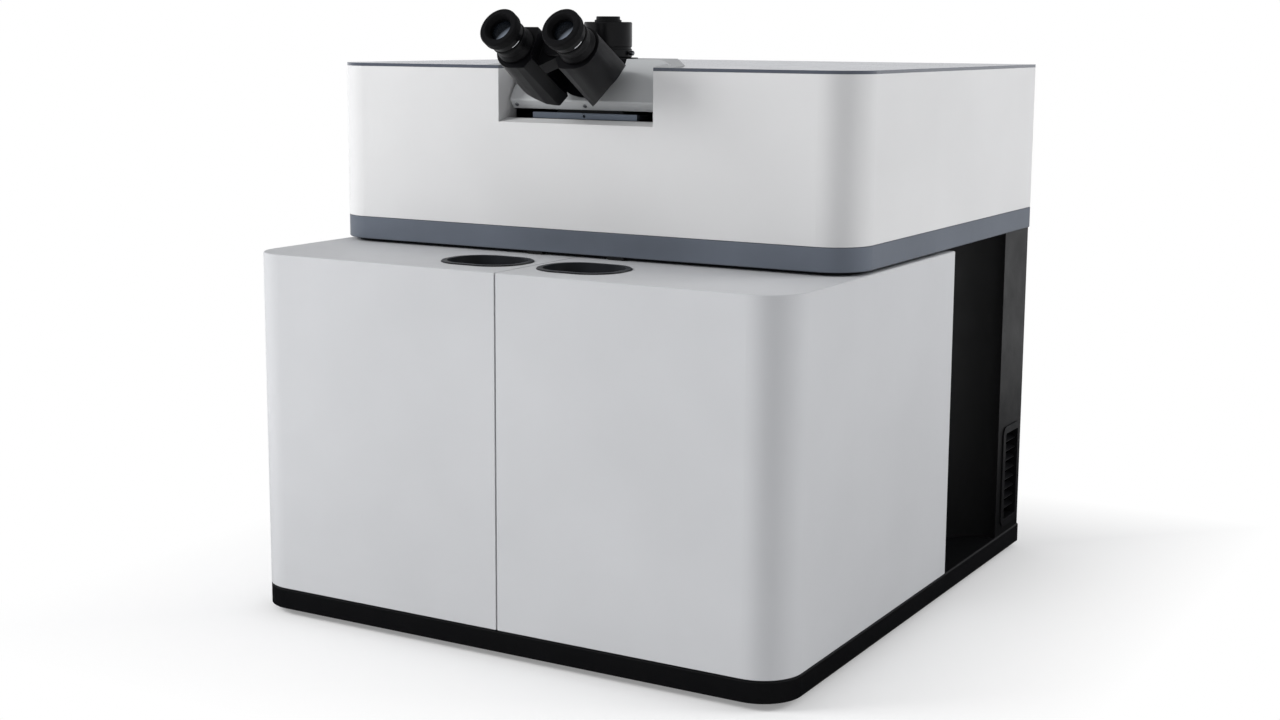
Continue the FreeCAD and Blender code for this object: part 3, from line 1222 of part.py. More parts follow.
def eyecup():
    """Soft rubber cup round the eye lens."""
    x = EYE_HALF_SPACING
    r, lens = EYECUP_RADIUS, EYE_LENS_RADIUS
    points = [(lens + 3.2, 0.0), (r - EYECUP_EDGE, 0.0), (r, EYECUP_EDGE), (r, EYECUP_LENGTH - 1.5),
              (r - 1.5, EYECUP_LENGTH),
              (lens + 2.3, EYECUP_LENGTH), (lens + 2.3, EYECUP_HOLLOW + 4), (lens + 0.3, EYECUP_HOLLOW + 4),
              (lens + 0.3, EYECUP_HOLLOW), (lens + 2.0, 1.6)]
    return revolved(points, head_point(x, 0, 0), EYE_S)


def diopter_ring():
    """Flared focusing ring on the housing's collar."""
    x = EYE_HALF_SPACING
    inner = COLLAR_RADIUS + RUNNING_FIT
    start, end = BARREL_END + 0.6, RING_END
    waist = BARREL_RADIUS - 0.4
    points = [(inner, start), (BARREL_RADIUS, start), (BARREL_RADIUS + 0.6, start + 1),
              (BARREL_RADIUS + 0.6, start + 3),
              (waist, start + 4), (waist, end - 7), (DIOPTER_RADIUS, end - 2), (DIOPTER_RADIUS,
                                                                                end), (inner, end)]
    return revolved(points, head_point(x, 0, 0), EYE_S)


def head_body():
    """Fixed part of the head: drum on the beam tower, round neck, and the hinge pin with its cap."""
    drum = upright(PHOTO_TUBE_RADIUS + 6, 0, OPTICAL_Y, Z_COWL + 5, HEAD_TOP)
    hinge = HINGE_RISE
    neck_start = HOUSING_END + FREE_GAP + 0.3
    neck = head_rod(HEAD_NECK_RADIUS, 0, hinge, neck_start, neck_start + 60)
    low = Z_COWL + 13.5
    neck_room = along_y(NECK_RADIUS, 0, low + NECK_RADIUS, Y_UPPER - 40, OPTICAL_Y)
    ahead = box(-100, 100, Y_UPPER - 80, Y_UPPER + 8, low, HEAD_TOP)
    neck = neck.common(neck_room.fuse(ahead)).common(box(-100, 100, Y_UPPER - 80, OPTICAL_Y, low, HEAD_TOP))
    lugs_end = HINGE_LUG_START + 2 * HINGE_LUG_LENGTH + FREE_GAP
    shaft = head_rod(HINGE_NECK_RADIUS, 0, hinge, lugs_end + FREE_GAP, neck_start + 8)
    pin = head_rod(HINGE_PIN_RADIUS, 0, hinge, HINGE_LUG_START - FREE_GAP - HINGE_CAP, lugs_end + 2)
    cap = head_rod(HINGE_NECK_RADIUS, 0, hinge, HINGE_LUG_START - FREE_GAP - HINGE_CAP,
                   HINGE_LUG_START - FREE_GAP)
    return joined([drum, neck, shaft, pin, cap])


def photo_tube():
    z0 = HEAD_TOP
    r = PHOTO_TUBE_RADIUS
    h = PHOTO_TUBE_HEIGHT
    points = [(0, 0), (r - 1, 0), (r, 1), (r, 8), (r - 0.8, 8.8), (r - 0.8, 10.2), (r, 11), (r, h - 1),
              (r - 1, h), (0, h)]
    return revolved(points, Vector(0, OPTICAL_Y, z0), Vector(0, 0, 1))


def photo_cap():
    z0 = HEAD_TOP + PHOTO_TUBE_HEIGHT
    r, h = PHOTO_CAP_RADIUS, PHOTO_CAP_HEIGHT
    points = [(0, 0), (r, 0), (r, 1.8), (r - 1.6, 2.4), (r - 1.6, h - 0.6), (r - 2.2, h), (0, h)]
    return revolved(points, Vector(0, OPTICAL_Y, z0), Vector(0, 0, 1))


def photo_lock_screw():
    z = HEAD_TOP + 4.5
    points = [(0, 0), (1.2, 0), (1.2, 1.5), (2.4, 1.5), (2.4, 5.0), (1.8, 5.6), (0, 5.6)]
    return revolved(points, Vector(PHOTO_TUBE_RADIUS, OPTICAL_Y, z), Vector(1, 0, 0))


# Spectrograph and lasers


def spectrograph_case():
    x0, y0 = SPECTROGRAPH_X, SPECTROGRAPH_Y
    x1, y1 = x0 + SPECTROGRAPH_WIDTH, y0 + SPECTROGRAPH_LENGTH
    wall = SPECTROGRAPH_WALL
    z0, z1 = Z_DECK, Z_DECK + SPECTROGRAPH_HEIGHT
    case = plan_prism(rectangle(x0, x1, y0, y1), [8] * 4, z0, z1)
    case = case.cut(plan_prism(rectangle(x0 + wall, x1 - wall, y0 + wall, y1 - wall), [3] * 4, z0 + wall,
                               z1 + 1))
    entrance = along_x(6, OPTICAL_Y + 44, z0 + 45, x1 - wall - 1, x1 + 1)
    camera_port = along_y(16, GRATING_X + 40, z0 + 45, y1 - wall - 1, y1 + 1)
    return case.cut(entrance).cut(camera_port)


def mirror_places():
    y1 = SPECTROGRAPH_Y + SPECTROGRAPH_LENGTH
    return ((GRATING_X + 60, y1 - 60, 20), (GRATING_X - 40, y1 - 60, -20))


def collimator_mirrors():
    """Two round mirrors in upright holders on the spectrograph's floor."""
    z0 = Z_DECK + SPECTROGRAPH_WALL
    pieces = []
    for x, y, turn in mirror_places():
        post = box(x - 24, x + 24, y, y + 14, z0, z0 + 70)
        dish = along_y(20, x, z0 + 38, y - 1, y + 3)
        post = post.cut(dish)
        mirror = along_y(19.5, x, z0 + 38, y - 1, y + 3)
        holder = post.fuse(mirror)
        foot = box(x - 28, x + 28, y - 6, y + 22, z0, z0 + 6)
        piece = joined([holder, foot])
        piece.rotate(Vector(x, y, 0), Vector(0, 0, 1), turn)
        pieces.append(piece)
    return pieces


def grating_levels():
    z0 = Z_DECK + SPECTROGRAPH_WALL
    return z0, z0 + 12, z0 + 12 + FREE_GAP


def grating_drive():
    """Motor plate with the spindle that the grating turret turns on."""
    z0, z1, _ = grating_levels()
    base = plan_prism(rectangle(GRATING_X - 32, GRATING_X + 32, GRATING_Y - 32, GRATING_Y + 32), [6] * 4,
                      z0, z1)
    spindle = upright(5, GRATING_X, GRATING_Y, z1 - 1, z1 + 50)
    return base.fuse(spindle)


def grating_turret():
    """Square drum with one seat for a grating on each face."""
    _, _, z0 = grating_levels()
    half = 20.0
    drum = plan_prism(rectangle(GRATING_X - half, GRATING_X + half, GRATING_Y - half, GRATING_Y + half),
                      [2] * 4, z0, z0 + 46)
    disc = upright(28, GRATING_X, GRATING_Y, z0, z0 + 5)
    drum = drum.fuse(disc)
    w = GRATING_SIZE / 2 + 0.1
    for i in range(GRATING_COUNT):
        seat = box(GRATING_X - w, GRATING_X + w, GRATING_Y - half - 1, GRATING_Y - half + 4, z0 + 10,
                   z0 + 10 + GRATING_SIZE + 0.2)
        seat.rotate(Vector(GRATING_X, GRATING_Y, 0), Vector(0, 0, 1), 360.0 * i / GRATING_COUNT)
        drum = drum.cut(seat)
    return drum.cut(upright(5 + RUNNING_FIT, GRATING_X, GRATING_Y, z0 - 1, z0 + 60)).removeSplitter()


def gratings():
    """One ruled glass block in each seat of the turret."""
    _, _, z0 = grating_levels()
    half = 20.0
    w = GRATING_SIZE / 2
    plates = []
    for i in range(GRATING_COUNT):
        plate = box(GRATING_X - w, GRATING_X + w, GRATING_Y - half - 1, GRATING_Y - half + 4, z0 + 10,
                    z0 + 10 + GRATING_SIZE)
        plate.rotate(Vector(GRATING_X, GRATING_Y, 0), Vector(0, 0, 1), 360.0 * i / GRATING_COUNT)
        plates.append(plate)
    return plates


def detector_camera():
    """Cooled detector behind the spectrograph, with cooling fins."""
    y1 = SPECTROGRAPH_Y + SPECTROGRAPH_LENGTH
    x = GRATING_X + 40
    z = Z_DECK + 45
    body = front_prism(rectangle(x - 38, x + 38, z - 38, z + 38), [6] * 4, y1, y1 + 72)
    fins = [box(x - 39, x + 39, y1 + 30 + i * 7, y1 + 33.5 + i * 7, z + 28, z + 39) for i in range(6)]
    base = box(x - 30, x + 30, y1 + 8, y1 + 64, Z_DECK, z - 37)
    return joined([body.cut(Part.makeCompound(fins)), base])


def laser_module(x):
    """Finned laser head with its exit snout towards the filter wheel."""
    half = LASER_WIDTH / 2
    y0, y1 = LASER_FRONT_Y, LASER_FRONT_Y + LASER_LENGTH
    z0, z1 = Z_DECK, Z_DECK + LASER_HEIGHT
    body = front_prism(rectangle(x - half, x + half, z0, z1), [0, 0, 3, 3], y0, y1)
    fins = [box(x - half + 5 + i * 8, x - half + 9 + i * 8, y0 + 20, y1 - 20, z1 - 12,
                z1 + 1) for i in range(7)]
    snout = along_y(8, x, z0 + 26, y0 - 10, y0 + 1)
    return joined([body.cut(Part.makeCompound(fins)), snout])


def beam_mirrors():
    """Small angled mirrors on posts that bring the laser to the tower and the light to the slit."""
    pieces = []
    for x, y, turn in ((LASER_X[0], -60.0, 45), (LASER_X[1], -60.0, 45), (62.0, -60.0, -45)):
        post = upright(7, x, y, Z_DECK, Z_DECK + 16)
        holder = box(x - 11, x + 11, y - 4, y + 4, Z_DECK + 15, Z_DECK + 38)
        holder.rotate(Vector(x, y, 0), Vector(0, 0, 1), turn)
        pieces.append(joined([post, holder]))
    return pieces


def mirrored_pair(parts, name, right):
    parts[name + "_right"] = right
    parts[name + "_left"] = mirrored(right)


def lower_parts(parts):
    parts["plinth"] = plinth()
    parts["rubber_feet"] = rubber_feet()
    parts["rear_cabinet"] = rear_cabinet()
    parts["side_vents"] = both_sides(side_vent())
    parts["rear_panel"] = rear_panel()
    parts["rear_panel_screws"] = rear_panel_screws()
    parts["mains_inlet"] = mains_inlet()
    parts["power_switch_frame"] = power_switch_frame()
    parts["power_rocker"] = power_rocker()
    parts["data_port"] = data_port()
    parts["fan_frame"] = fan_frame()
    parts["fan_rotor"] = fan_rotor()
    parts["fan_guard"] = fan_guard()
    parts["power_supply"] = power_supply()
    mirrored_pair(parts, "door", door(door_pair_shell()))
    mirrored_pair(parts, "finger_cup", finger_cup())
    parts["door_hinge_pins"] = door_hinge_pins()
    parts["door_catches"] = door_catches()
    parts["light_seal"] = light_seal()
    parts["frame_posts"] = frame_posts()


def chamber_parts(parts):
    parts["focus_column"] = focus_column()
    parts["z_carriage"] = z_carriage()
    parts["z_motor"] = z_motor()
    parts["y_carriage"] = y_carriage()
    parts["y_motor"] = y_motor()
    parts["x_carriage"] = x_carriage()
    parts["x_motor"] = x_motor()
    parts["sample_holder"] = sample_holder()
    parts["nosepiece_mount"] = nosepiece_mount()
    parts["nosepiece_turret"] = nosepiece_turret()
    parts["objectives"] = Part.makeCompound([objective(length, i) for i,
                                             length in enumerate(OBJECTIVE_LENGTHS)])


def upper_parts(parts):
    parts["optical_base_plate"] = optical_base_plate()
    parts["upper_housing"] = upper_housing()
    parts["lid"] = lid()
    parts["cowl"] = cowl()
    parts["cowl_screws"] = cowl_screws()
    parts["beam_tower"] = beam_tower()
    parts["filter_slider"] = filter_slider()
    parts["spectrograph_case"] = spectrograph_case()
    parts["mirror_mounts"] = Part.makeCompound(collimator_mirrors() + beam_mirrors())
    parts["grating_drive"] = grating_drive()
    parts["grating_turret"] = Part.makeCompound([grating_turret()] + gratings())
    parts["detector_camera"] = detector_camera()
    parts["laser_modules"] = Part.makeCompound([laser_module(x) for x in LASER_X])


def head_parts(parts):
    parts["head_body"] = head_body()
    parts["photo_tube"] = photo_tube()
    parts["photo_cap"] = photo_cap()
    parts["photo_lock_screw"] = photo_lock_screw()
    parts["prism_housing_right"] = prism_housing(HINGE_LUG_START + HINGE_LUG_LENGTH + FREE_GAP)
    parts["prism_housing_left"] = mirrored(prism_housing(HINGE_LUG_START))
    mirrored_pair(parts, "eyepiece", eyepiece())
    mirrored_pair(parts, "eye_lens", eye_lens())
    mirrored_pair(parts, "eyecup", eyecup())
    mirrored_pair(parts, "diopter_ring", diopter_ring())


def build():
    parts = {}
    lower_parts(parts)
    chamber_parts(parts)
    upper_parts(parts)
    head_parts(parts)
    return parts


if __name__ == "__main__":
    os.makedirs("parts", exist_ok=True)
    for name, shape in build().items():
        shape.exportStep("parts/" + name + ".step")
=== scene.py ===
import math

import bmesh
import bpy
from mathutils import Matrix, Vector


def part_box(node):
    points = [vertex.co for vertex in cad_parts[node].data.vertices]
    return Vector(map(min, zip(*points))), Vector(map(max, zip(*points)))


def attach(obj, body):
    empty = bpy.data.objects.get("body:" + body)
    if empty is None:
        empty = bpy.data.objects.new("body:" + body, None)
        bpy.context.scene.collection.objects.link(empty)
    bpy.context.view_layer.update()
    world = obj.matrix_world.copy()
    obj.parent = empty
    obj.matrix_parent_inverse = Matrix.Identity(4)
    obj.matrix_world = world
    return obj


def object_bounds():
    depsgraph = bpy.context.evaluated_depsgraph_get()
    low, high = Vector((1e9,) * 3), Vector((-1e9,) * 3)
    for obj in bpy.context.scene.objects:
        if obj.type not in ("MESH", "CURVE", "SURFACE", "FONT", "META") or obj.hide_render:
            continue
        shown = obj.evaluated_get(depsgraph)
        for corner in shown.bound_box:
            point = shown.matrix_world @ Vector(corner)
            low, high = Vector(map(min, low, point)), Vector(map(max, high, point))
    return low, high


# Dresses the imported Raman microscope: paints, anodised metal, rubber and glass for the CAD nodes,
# the sill of the notch and two index marks that the CAD leaves out, a white studio, and the
# photograph's camera. Metres, in the model's own frame: +X right, +Y back, +Z up, the origin on
# the bench.

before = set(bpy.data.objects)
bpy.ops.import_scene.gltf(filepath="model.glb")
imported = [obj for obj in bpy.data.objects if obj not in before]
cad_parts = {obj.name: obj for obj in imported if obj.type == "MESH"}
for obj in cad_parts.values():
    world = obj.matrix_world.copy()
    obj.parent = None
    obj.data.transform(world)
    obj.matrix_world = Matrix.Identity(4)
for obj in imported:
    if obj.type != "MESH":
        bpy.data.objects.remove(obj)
CAD_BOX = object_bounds()

MM = 0.001

# Camera, fitted to the photograph; it looks a little down, so that other views stay in the frame
CAMERA_PLACE = (0.95437, -1.71375, 0.59102)
CAMERA_YAW = math.radians(29.848)
CAMERA_PITCH = math.radians(8.937)
CAMERA_ROLL = math.radians(0.346)
CAMERA_SHIFT = -0.03
CAMERA_REACH = 50.0
SENSOR_WIDTH = 36.0
IMAGE_WIDTH_PX = 1280.0
FOCAL_PX = 1839.81

# Sill of the notch, a slanted bar just under the slider
LEDGE_HALF_WIDTH = 88.2 * MM
LEDGE_RISE = 4.0 * MM
LEDGE_LIP = 0.2 * MM
LEDGE_UNDER_SLIDER = 0.2 * MM
LEDGE_BEHIND_FRONT = 0.3 * MM
LEDGE_BEFORE_SLIDER = 3.6 * MM

# Binocular head: its directions and the sizes of its tubes, as the solids have them
EYE_ANGLE = math.radians(30)
ALONG_TUBE = Vector((0, math.cos(EYE_ANGLE), -math.sin(EYE_ANGLE)))
ACROSS_TUBE = Vector((0, math.sin(EYE_ANGLE), math.cos(EYE_ANGLE)))
EYECUP_RADIUS = 20.0 * MM
EYECUP_EDGE = 1.5 * MM
BARREL_RADIUS = 17.4 * MM

# Index mark on each barrel: its place down the tube and round it, and its size
INDEX_PLACE = 15.6 * MM
INDEX_TURN = math.radians(125)
INDEX_WIDTH = 0.8 * MM
INDEX_LENGTH = 9.0 * MM
INDEX_SINK = 0.1 * MM
INDEX_LIFT = 0.06 * MM
INDEX_STEPS = 10

# Floor: white from a short way off the object, with the object's own shadow beside it; in
# reflections it goes dark near the object
FOOTPRINT = (CAD_BOX[1][0] - CAD_BOX[0][0], CAD_BOX[1][1] - CAD_BOX[0][1])
FLOOR_HALF_WIDTH = 9.0
SHADOW_REACH = 0.24
SHADOW_GLOW = 0.25
MIRROR_DARK_TO = 0.2
MIRROR_PALE_FROM = 1.8

# World: its level as light, and what reflections see at the horizon and above it
WORLD_LEVEL = 0.44
HORIZON_LEVEL = 0.95
SKY_LEVEL = 0.55 * WORLD_LEVEL
HORIZON_TOP = 0.03
SKY_FROM = 0.16

# Lamps: name, place, the point that it faces, its width and height, and its power in watts
LAMPS = (
    ("key_left", (-2.1, -1.75, 1.75), (-0.1, -0.3, 0.42), (1.2, 1.1), 62.0),
    ("side_right_back", (2.3, 1.25, 1.7), (0.2, 0.0, 0.4), (1.4, 1.1), 34.0),
)

# Sockets of the Mix node where it mixes colours
SHARE, FIRST, SECOND = 0, 6, 7
MIXED = 2

# Rays that feel for an edge, and the scale along a grain that draws it out into lines
BEVEL_SAMPLES = 4
GRAIN_SCALE = 0.02

WHITE = (1.0, 1.0, 1.0, 1.0)


# Colours and nodes


def linear(hex_colour):
    """Scene-linear RGBA from an sRGB hex string."""
    values = [int(hex_colour[i:i + 2], 16) / 255 for i in (1, 3, 5)]
    return [v / 12.92 if v <= 0.04045 else ((v + 0.055) / 1.055) ** 2.4 for v in values] + [1.0]


def scaled(colour, factor):
    """The colour darker or lighter by a factor."""
    return [min(value * factor, 1.0) for value in colour[:3]] + [1.0]


def paler(colour, share):
    """The colour moved towards white by a share."""
    return [value + (1 - value) * share for value in colour[:3]] + [1.0]


def add(tree, kind, inputs=None, output=0, **settings):
    """Adds a node and gives back one of its outputs; inputs are values, or outputs to link from."""
    node = tree.nodes.new(kind)
    for key, value in settings.items():
        setattr(node, key, value)
    for key, value in (inputs or {}).items():
        if isinstance(value, bpy.types.NodeSocket):
            tree.links.new(value, node.inputs[key])
        else:
            node.inputs[key].default_value = value
    return node.outputs[output] if node.outputs else None


def begin(name):
    """An empty material with its node tree, and the place on the piece that its patterns read."""
    material = bpy.data.materials.new(name)
    material.use_nodes = True
    tree = material.node_tree
    tree.nodes.clear()
    return material, tree, add(tree, "ShaderNodeTexCoord", output="Object")


def patchy(tree, place, size, low, high, detail=3.0, fineness=0.55, dip=0.3, peak=0.7):
    """A value that wanders from low to high in patches about size across."""
    cloud = add(tree, "ShaderNodeTexNoise",
                {"Vector": place, "Scale": 1 / size, "Detail": detail, "Roughness": fineness})
    return add(tree, "ShaderNodeMapRange",
               {"Value": cloud, "From Min": dip, "From Max": peak, "To Min": low, "To Max": high})


def mottled(tree, place, size, first, second, **cloud):
    """Colour that wanders from first to second in patches about size across."""
    share = patchy(tree, place, size, 0.0, 1.0, **cloud)
    return add(tree, "ShaderNodeMix", {SHARE: share, FIRST: first, SECOND: second}, MIXED, data_type="RGBA")


def worn_edges(tree, shade, radius, worn, share):
    """The shade going part of the way to worn along each edge, found by its softened normal."""
    soft = add(tree, "ShaderNodeBevel", {"Radius": radius}, samples=BEVEL_SAMPLES)
    hard = add(tree, "ShaderNodeNewGeometry", output="Normal")
    likeness = add(tree, "ShaderNodeVectorMath", {0: soft, 1: hard}, "Value", operation="DOT_PRODUCT")
    edge = add(tree, "ShaderNodeMapRange",
               {"Value": likeness, "From Min": 1.0, "From Max": 0.9, "To Min": 0.0, "To Max": share})
    return add(tree, "ShaderNodeMix", {SHARE: edge, FIRST: shade, SECOND: worn}, MIXED, data_type="RGBA")


def relief(tree, height, depth, edge_radius):
    """The normal of a pattern's relief, on a surface whose hard edges look rounded."""
    rounded = add(tree, "ShaderNodeBevel", {"Radius": edge_radius}, samples=BEVEL_SAMPLES)
    return add(tree, "ShaderNodeBump",
               {"Height": height, "Distance": depth, "Strength": 1.0, "Normal": rounded})


def finished(material, inputs):
    """The material with its shader, which takes these inputs."""
    surface = add(material.node_tree, "ShaderNodeBsdfPrincipled", inputs)
    add(material.node_tree, "ShaderNodeOutputMaterial", {"Surface": surface})
    return material


# Materials


def powder_coat(name, colour, roughness=0.45, grain=0.9 * MM, depth=0.05 * MM, wear=0.25, gloss=0.5):
    """Sprayed and baked paint: orange-peel grain, slight unevenness and paler broken edges."""
    material, tree, place = begin(name)
    base = linear(colour)
    shade = mottled(tree, place, 160 * MM, scaled(base, 0.965), scaled(base, 1.02), detail=2.0)
    shade = worn_edges(tree, shade, 0.7 * MM, paler(base, 0.18), wear)
    rough = patchy(tree, place, 35 * MM, roughness - 0.04, roughness + 0.05, detail=4.0, fineness=0.6)
    peel = add(tree, "ShaderNodeTexNoise",
               {"Vector": place, "Scale": 1 / grain, "Detail": 2.0, "Roughness": 0.5})
    return finished(material, {"Base Color": shade, "Roughness": rough, "Specular IOR Level": gloss,
                               "Normal": relief(tree, peel, depth, 0.6 * MM)})


def gloss_lacquer(name, colour):
    """Deep gloss lacquer under a clear coat: it mirrors what is low behind it, with a faint haze."""
    material, tree, place = begin(name)
    base = linear(colour)
    shade = mottled(tree, place, 50 * MM, base, scaled(base, 1.12), detail=5.0, fineness=0.65)
    rough = patchy(tree, place, 50 * MM, 0.2, 0.28, detail=5.0, fineness=0.65)
    wave = add(tree, "ShaderNodeTexNoise",
               {"Vector": place, "Scale": 1 / (6 * MM), "Detail": 2.0, "Roughness": 0.55})
    return finished(material, {"Base Color": shade, "Roughness": rough,
                               "Coat Weight": 0.6, "Coat Roughness": 0.08,
                               "Normal": relief(tree, wave, 0.01 * MM, 0.5 * MM)})


def anodised(name, colour, roughness, metallic, grain_axis=0):
    """Anodised aluminium: a satin metal with lines along one axis and brighter edges.

    The lines are drawn coarser than the real ones, so that they show.
    """
    material, tree, place = begin(name)
    base = linear(colour)
    scale = [1.0, 1.0, 1.0]
    scale[grain_axis] = GRAIN_SCALE
    along = add(tree, "ShaderNodeMapping", {"Vector": place, "Scale": scale})
    shade = mottled(tree, place, 80 * MM, scaled(base, 0.93), scaled(base, 1.06))
    shade = worn_edges(tree, shade, 0.5 * MM, paler(base, 0.25), 0.35)
    rough = patchy(tree, along, 0.35 * MM, roughness - 0.07, roughness + 0.08, fineness=0.6,
                   dip=0.25, peak=0.75)
    lines = add(tree, "ShaderNodeTexNoise",
                {"Vector": along, "Scale": 1 / (0.35 * MM), "Detail": 3.0, "Roughness": 0.6})
    return finished(material, {"Base Color": shade, "Metallic": metallic, "Roughness": rough,
                               "Normal": relief(tree, lines, 0.012 * MM, 0.4 * MM)})


def moulded(name, colour, roughness, grain, depth, wear):
    """Moulded plastic or crackle paint: fine cells, a soft sheen and greyed edges."""
    material, tree, place = begin(name)
    base = linear(colour)
    cells = add(tree, "ShaderNodeTexVoronoi", {"Vector": place, "Scale": 1 / grain}, feature="SMOOTH_F1")
    shade = mottled(tree, place, 20 * MM, scaled(base, 0.85), scaled(base, 1.2), detail=4.0)
    shade = worn_edges(tree, shade, 0.6 * MM, paler(base, 0.06), wear)
    rough = patchy(tree, place, 20 * MM, roughness - 0.06, roughness + 0.06, detail=4.0)
    return finished(material, {"Base Color": shade, "Roughness": rough, "Specular IOR Level": 0.28,
                               "Normal": relief(tree, cells, depth, 0.6 * MM)})


def soft_rubber(name, colour):
    """Black rubber: matt, and slightly dusty on what faces up."""
    material, tree, place = begin(name)
    facing = add(tree, "ShaderNodeNewGeometry", output="Normal")
    upward = add(tree, "ShaderNodeSeparateXYZ", {"Vector": facing}, "Z")
    settled = add(tree, "ShaderNodeMapRange",
                  {"Value": upward, "From Min": 0.2, "From Max": 1.0, "To Min": 0.0, "To Max": 0.05})
    specks = patchy(tree, place, 3 * MM, 0.2, 1.0, detail=5.0, fineness=0.7, dip=0.35)
    dust = add(tree, "ShaderNodeMath", {0: settled, 1: specks}, operation="MULTIPLY")
    shade = add(tree, "ShaderNodeMix", {SHARE: dust, FIRST: linear(colour), SECOND: linear("#8a8c90")},
                MIXED, data_type="RGBA")
    rough = patchy(tree, place, 3 * MM, 0.58, 0.7, detail=5.0, fineness=0.7)
    fine = add(tree, "ShaderNodeTexNoise",
               {"Vector": place, "Scale": 1 / (0.35 * MM), "Detail": 3.0, "Roughness": 0.55})
    return finished(material, {"Base Color": shade, "Roughness": rough, "Specular IOR Level": 0.22,
                               "Normal": relief(tree, fine, 0.03 * MM, 0.9 * MM)})


def eye_lens_with_painted_highlight(name):
    """Dark eye lens: black glass with a painted highlight, a pale crescent on the lower right of its dome.
    """
    material, tree, place = begin(name)
    facing = add(tree, "ShaderNodeNewGeometry", output="Normal")
    # Painted highlight: the colour goes pale where the normal faces down and to the right, standing in for
    # a reflection
    highlight_side = (Vector((0.75, 0, 0)) - ACROSS_TUBE * 0.66).normalized()
    highlight_facing = add(tree, "ShaderNodeVectorMath", {0: facing, 1: highlight_side}, "Value", operation="DOT_PRODUCT")
    seat = add(tree, "ShaderNodeMapRange",
               {"Value": highlight_facing, "From Min": 0.1, "From Max": 0.32, "To Min": 0.0, "To Max": 0.9})
    deep = mottled(tree, place, 1.5 * MM, linear("#0b0d10"), linear("#14181d"), detail=4.0, dip=0.35)
    # The dark glass mixed with the painted highlight's pale colour
    shade = add(tree, "ShaderNodeMix", {SHARE: seat, FIRST: deep, SECOND: linear("#a9b3c2")},
                MIXED, data_type="RGBA")
    rough = patchy(tree, place, 1.5 * MM, 0.24, 0.32, detail=4.0, dip=0.4, peak=0.8)
    return finished(material, {"Base Color": shade, "Roughness": rough, "Specular IOR Level": 0.12})


def turned_steel(name, colour, roughness):
    """Turned or plated steel: bright, with faint stains and a grain drawn coarse enough to show."""
    material, tree, place = begin(name)
    base = linear(colour)
    shade = mottled(tree, place, 8 * MM, base, scaled(base, 0.86), detail=4.0)
    rough = patchy(tree, place, 8 * MM, roughness - 0.06, roughness + 0.08, detail=4.0)
    grain = add(tree, "ShaderNodeTexNoise",
                {"Vector": place, "Scale": 1 / (0.25 * MM), "Detail": 2.0, "Roughness": 0.55})
    return finished(material, {"Base Color": shade, "Metallic": 1.0, "Roughness": rough,
                               "Normal": relief(tree, grain, 0.008 * MM, 0.3 * MM)})


def foam(name):
    """Open black foam: a dead matt strip of small cells with paler walls."""
    material, tree, place = begin(name)
    cells = add(tree, "ShaderNodeTexVoronoi", {"Vector": place, "Scale": 1 / (0.6 * MM)})
    walls = add(tree, "ShaderNodeMapRange",
                {"Value": cells, "From Min": 0.1, "From Max": 0.6, "To Min": 0.0, "To Max": 1.0})
    shade = add(tree, "ShaderNodeMix", {SHARE: walls, FIRST: linear("#0c0c0d"), SECOND: linear("#232427")},
                MIXED, data_type="RGBA")
    pores = add(tree, "ShaderNodeBump", {"Height": cells, "Distance": 0.25 * MM, "Strength": 1.0})
    return finished(material, {"Base Color": shade, "Roughness": 0.95, "Normal": pores})


def enamel(name, colour, roughness=0.5):
    """Thin enamelled mark: a flat colour that is slightly uneven."""
    material, tree, place = begin(name)
    base = linear(colour)
    shade = mottled(tree, place, 2.5 * MM, base, scaled(base, 0.9), detail=4.0)
    rough = patchy(tree, place, 2.5 * MM, roughness - 0.05, roughness + 0.08, detail=4.0)
    brush = add(tree, "ShaderNodeTexNoise",
                {"Vector": place, "Scale": 1 / (2.5 * MM), "Detail": 4.0, "Roughness": 0.55})
    return finished(material, {"Base Color": shade, "Roughness": rough,
                               "Normal": relief(tree, brush, 0.01 * MM, 0.15 * MM)})


# The CAD nodes


def dress(material, *nodes):
    """Gives the CAD nodes of these names one material."""
    for name in nodes:
        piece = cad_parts[name]
        piece.data.materials.clear()
        piece.data.materials.append(material)


def dress_case():
    """Doors, housings, plinth, band, lid and cowl."""
    dress(powder_coat("light_grey_powder_coat", "#cccdcf"), "door_left", "door_right")
    dress(powder_coat("white_powder_coat", "#dfdfdf"), "upper_housing")
    # Rear cabinet: black paint made darker than paint can be, partly its own black and partly painted shade
    # for its deep side recess
    dress(powder_coat("black_coat_painted_recess_shade", "#070708", roughness=0.4, grain=0.6 * MM, wear=0.04, gloss=0.25),
          "rear_cabinet")
    dress(powder_coat("rear_panel_coat", "#151517", roughness=0.42, grain=0.6 * MM, wear=0.1, gloss=0.35),
          "rear_panel")
    dress(powder_coat("plinth_black_coat", "#0d0d0f", roughness=0.4, grain=0.6 * MM, wear=0.06, gloss=0.35),
          "plinth")
    dress(powder_coat("cowl_grey_paint", "#c3c5c6", roughness=0.34, grain=1.2 * MM, depth=0.02 * MM,
                      wear=0.15), "cowl")
    dress(anodised("dark_anodised_band", "#747b86", roughness=0.42, metallic=0.6), "optical_base_plate")
    dress(gloss_lacquer("blue_black_lid_lacquer", "#3c4350"), "lid")
    dress(moulded("cup_plastic", "#1c1e22", roughness=0.4, grain=0.7 * MM, depth=0.03 * MM, wear=0.2),
          "finger_cup_left", "finger_cup_right")
    dress(foam("black_foam"), "light_seal")
    dress(soft_rubber("foot_rubber", "#0b0b0c"), "rubber_feet")


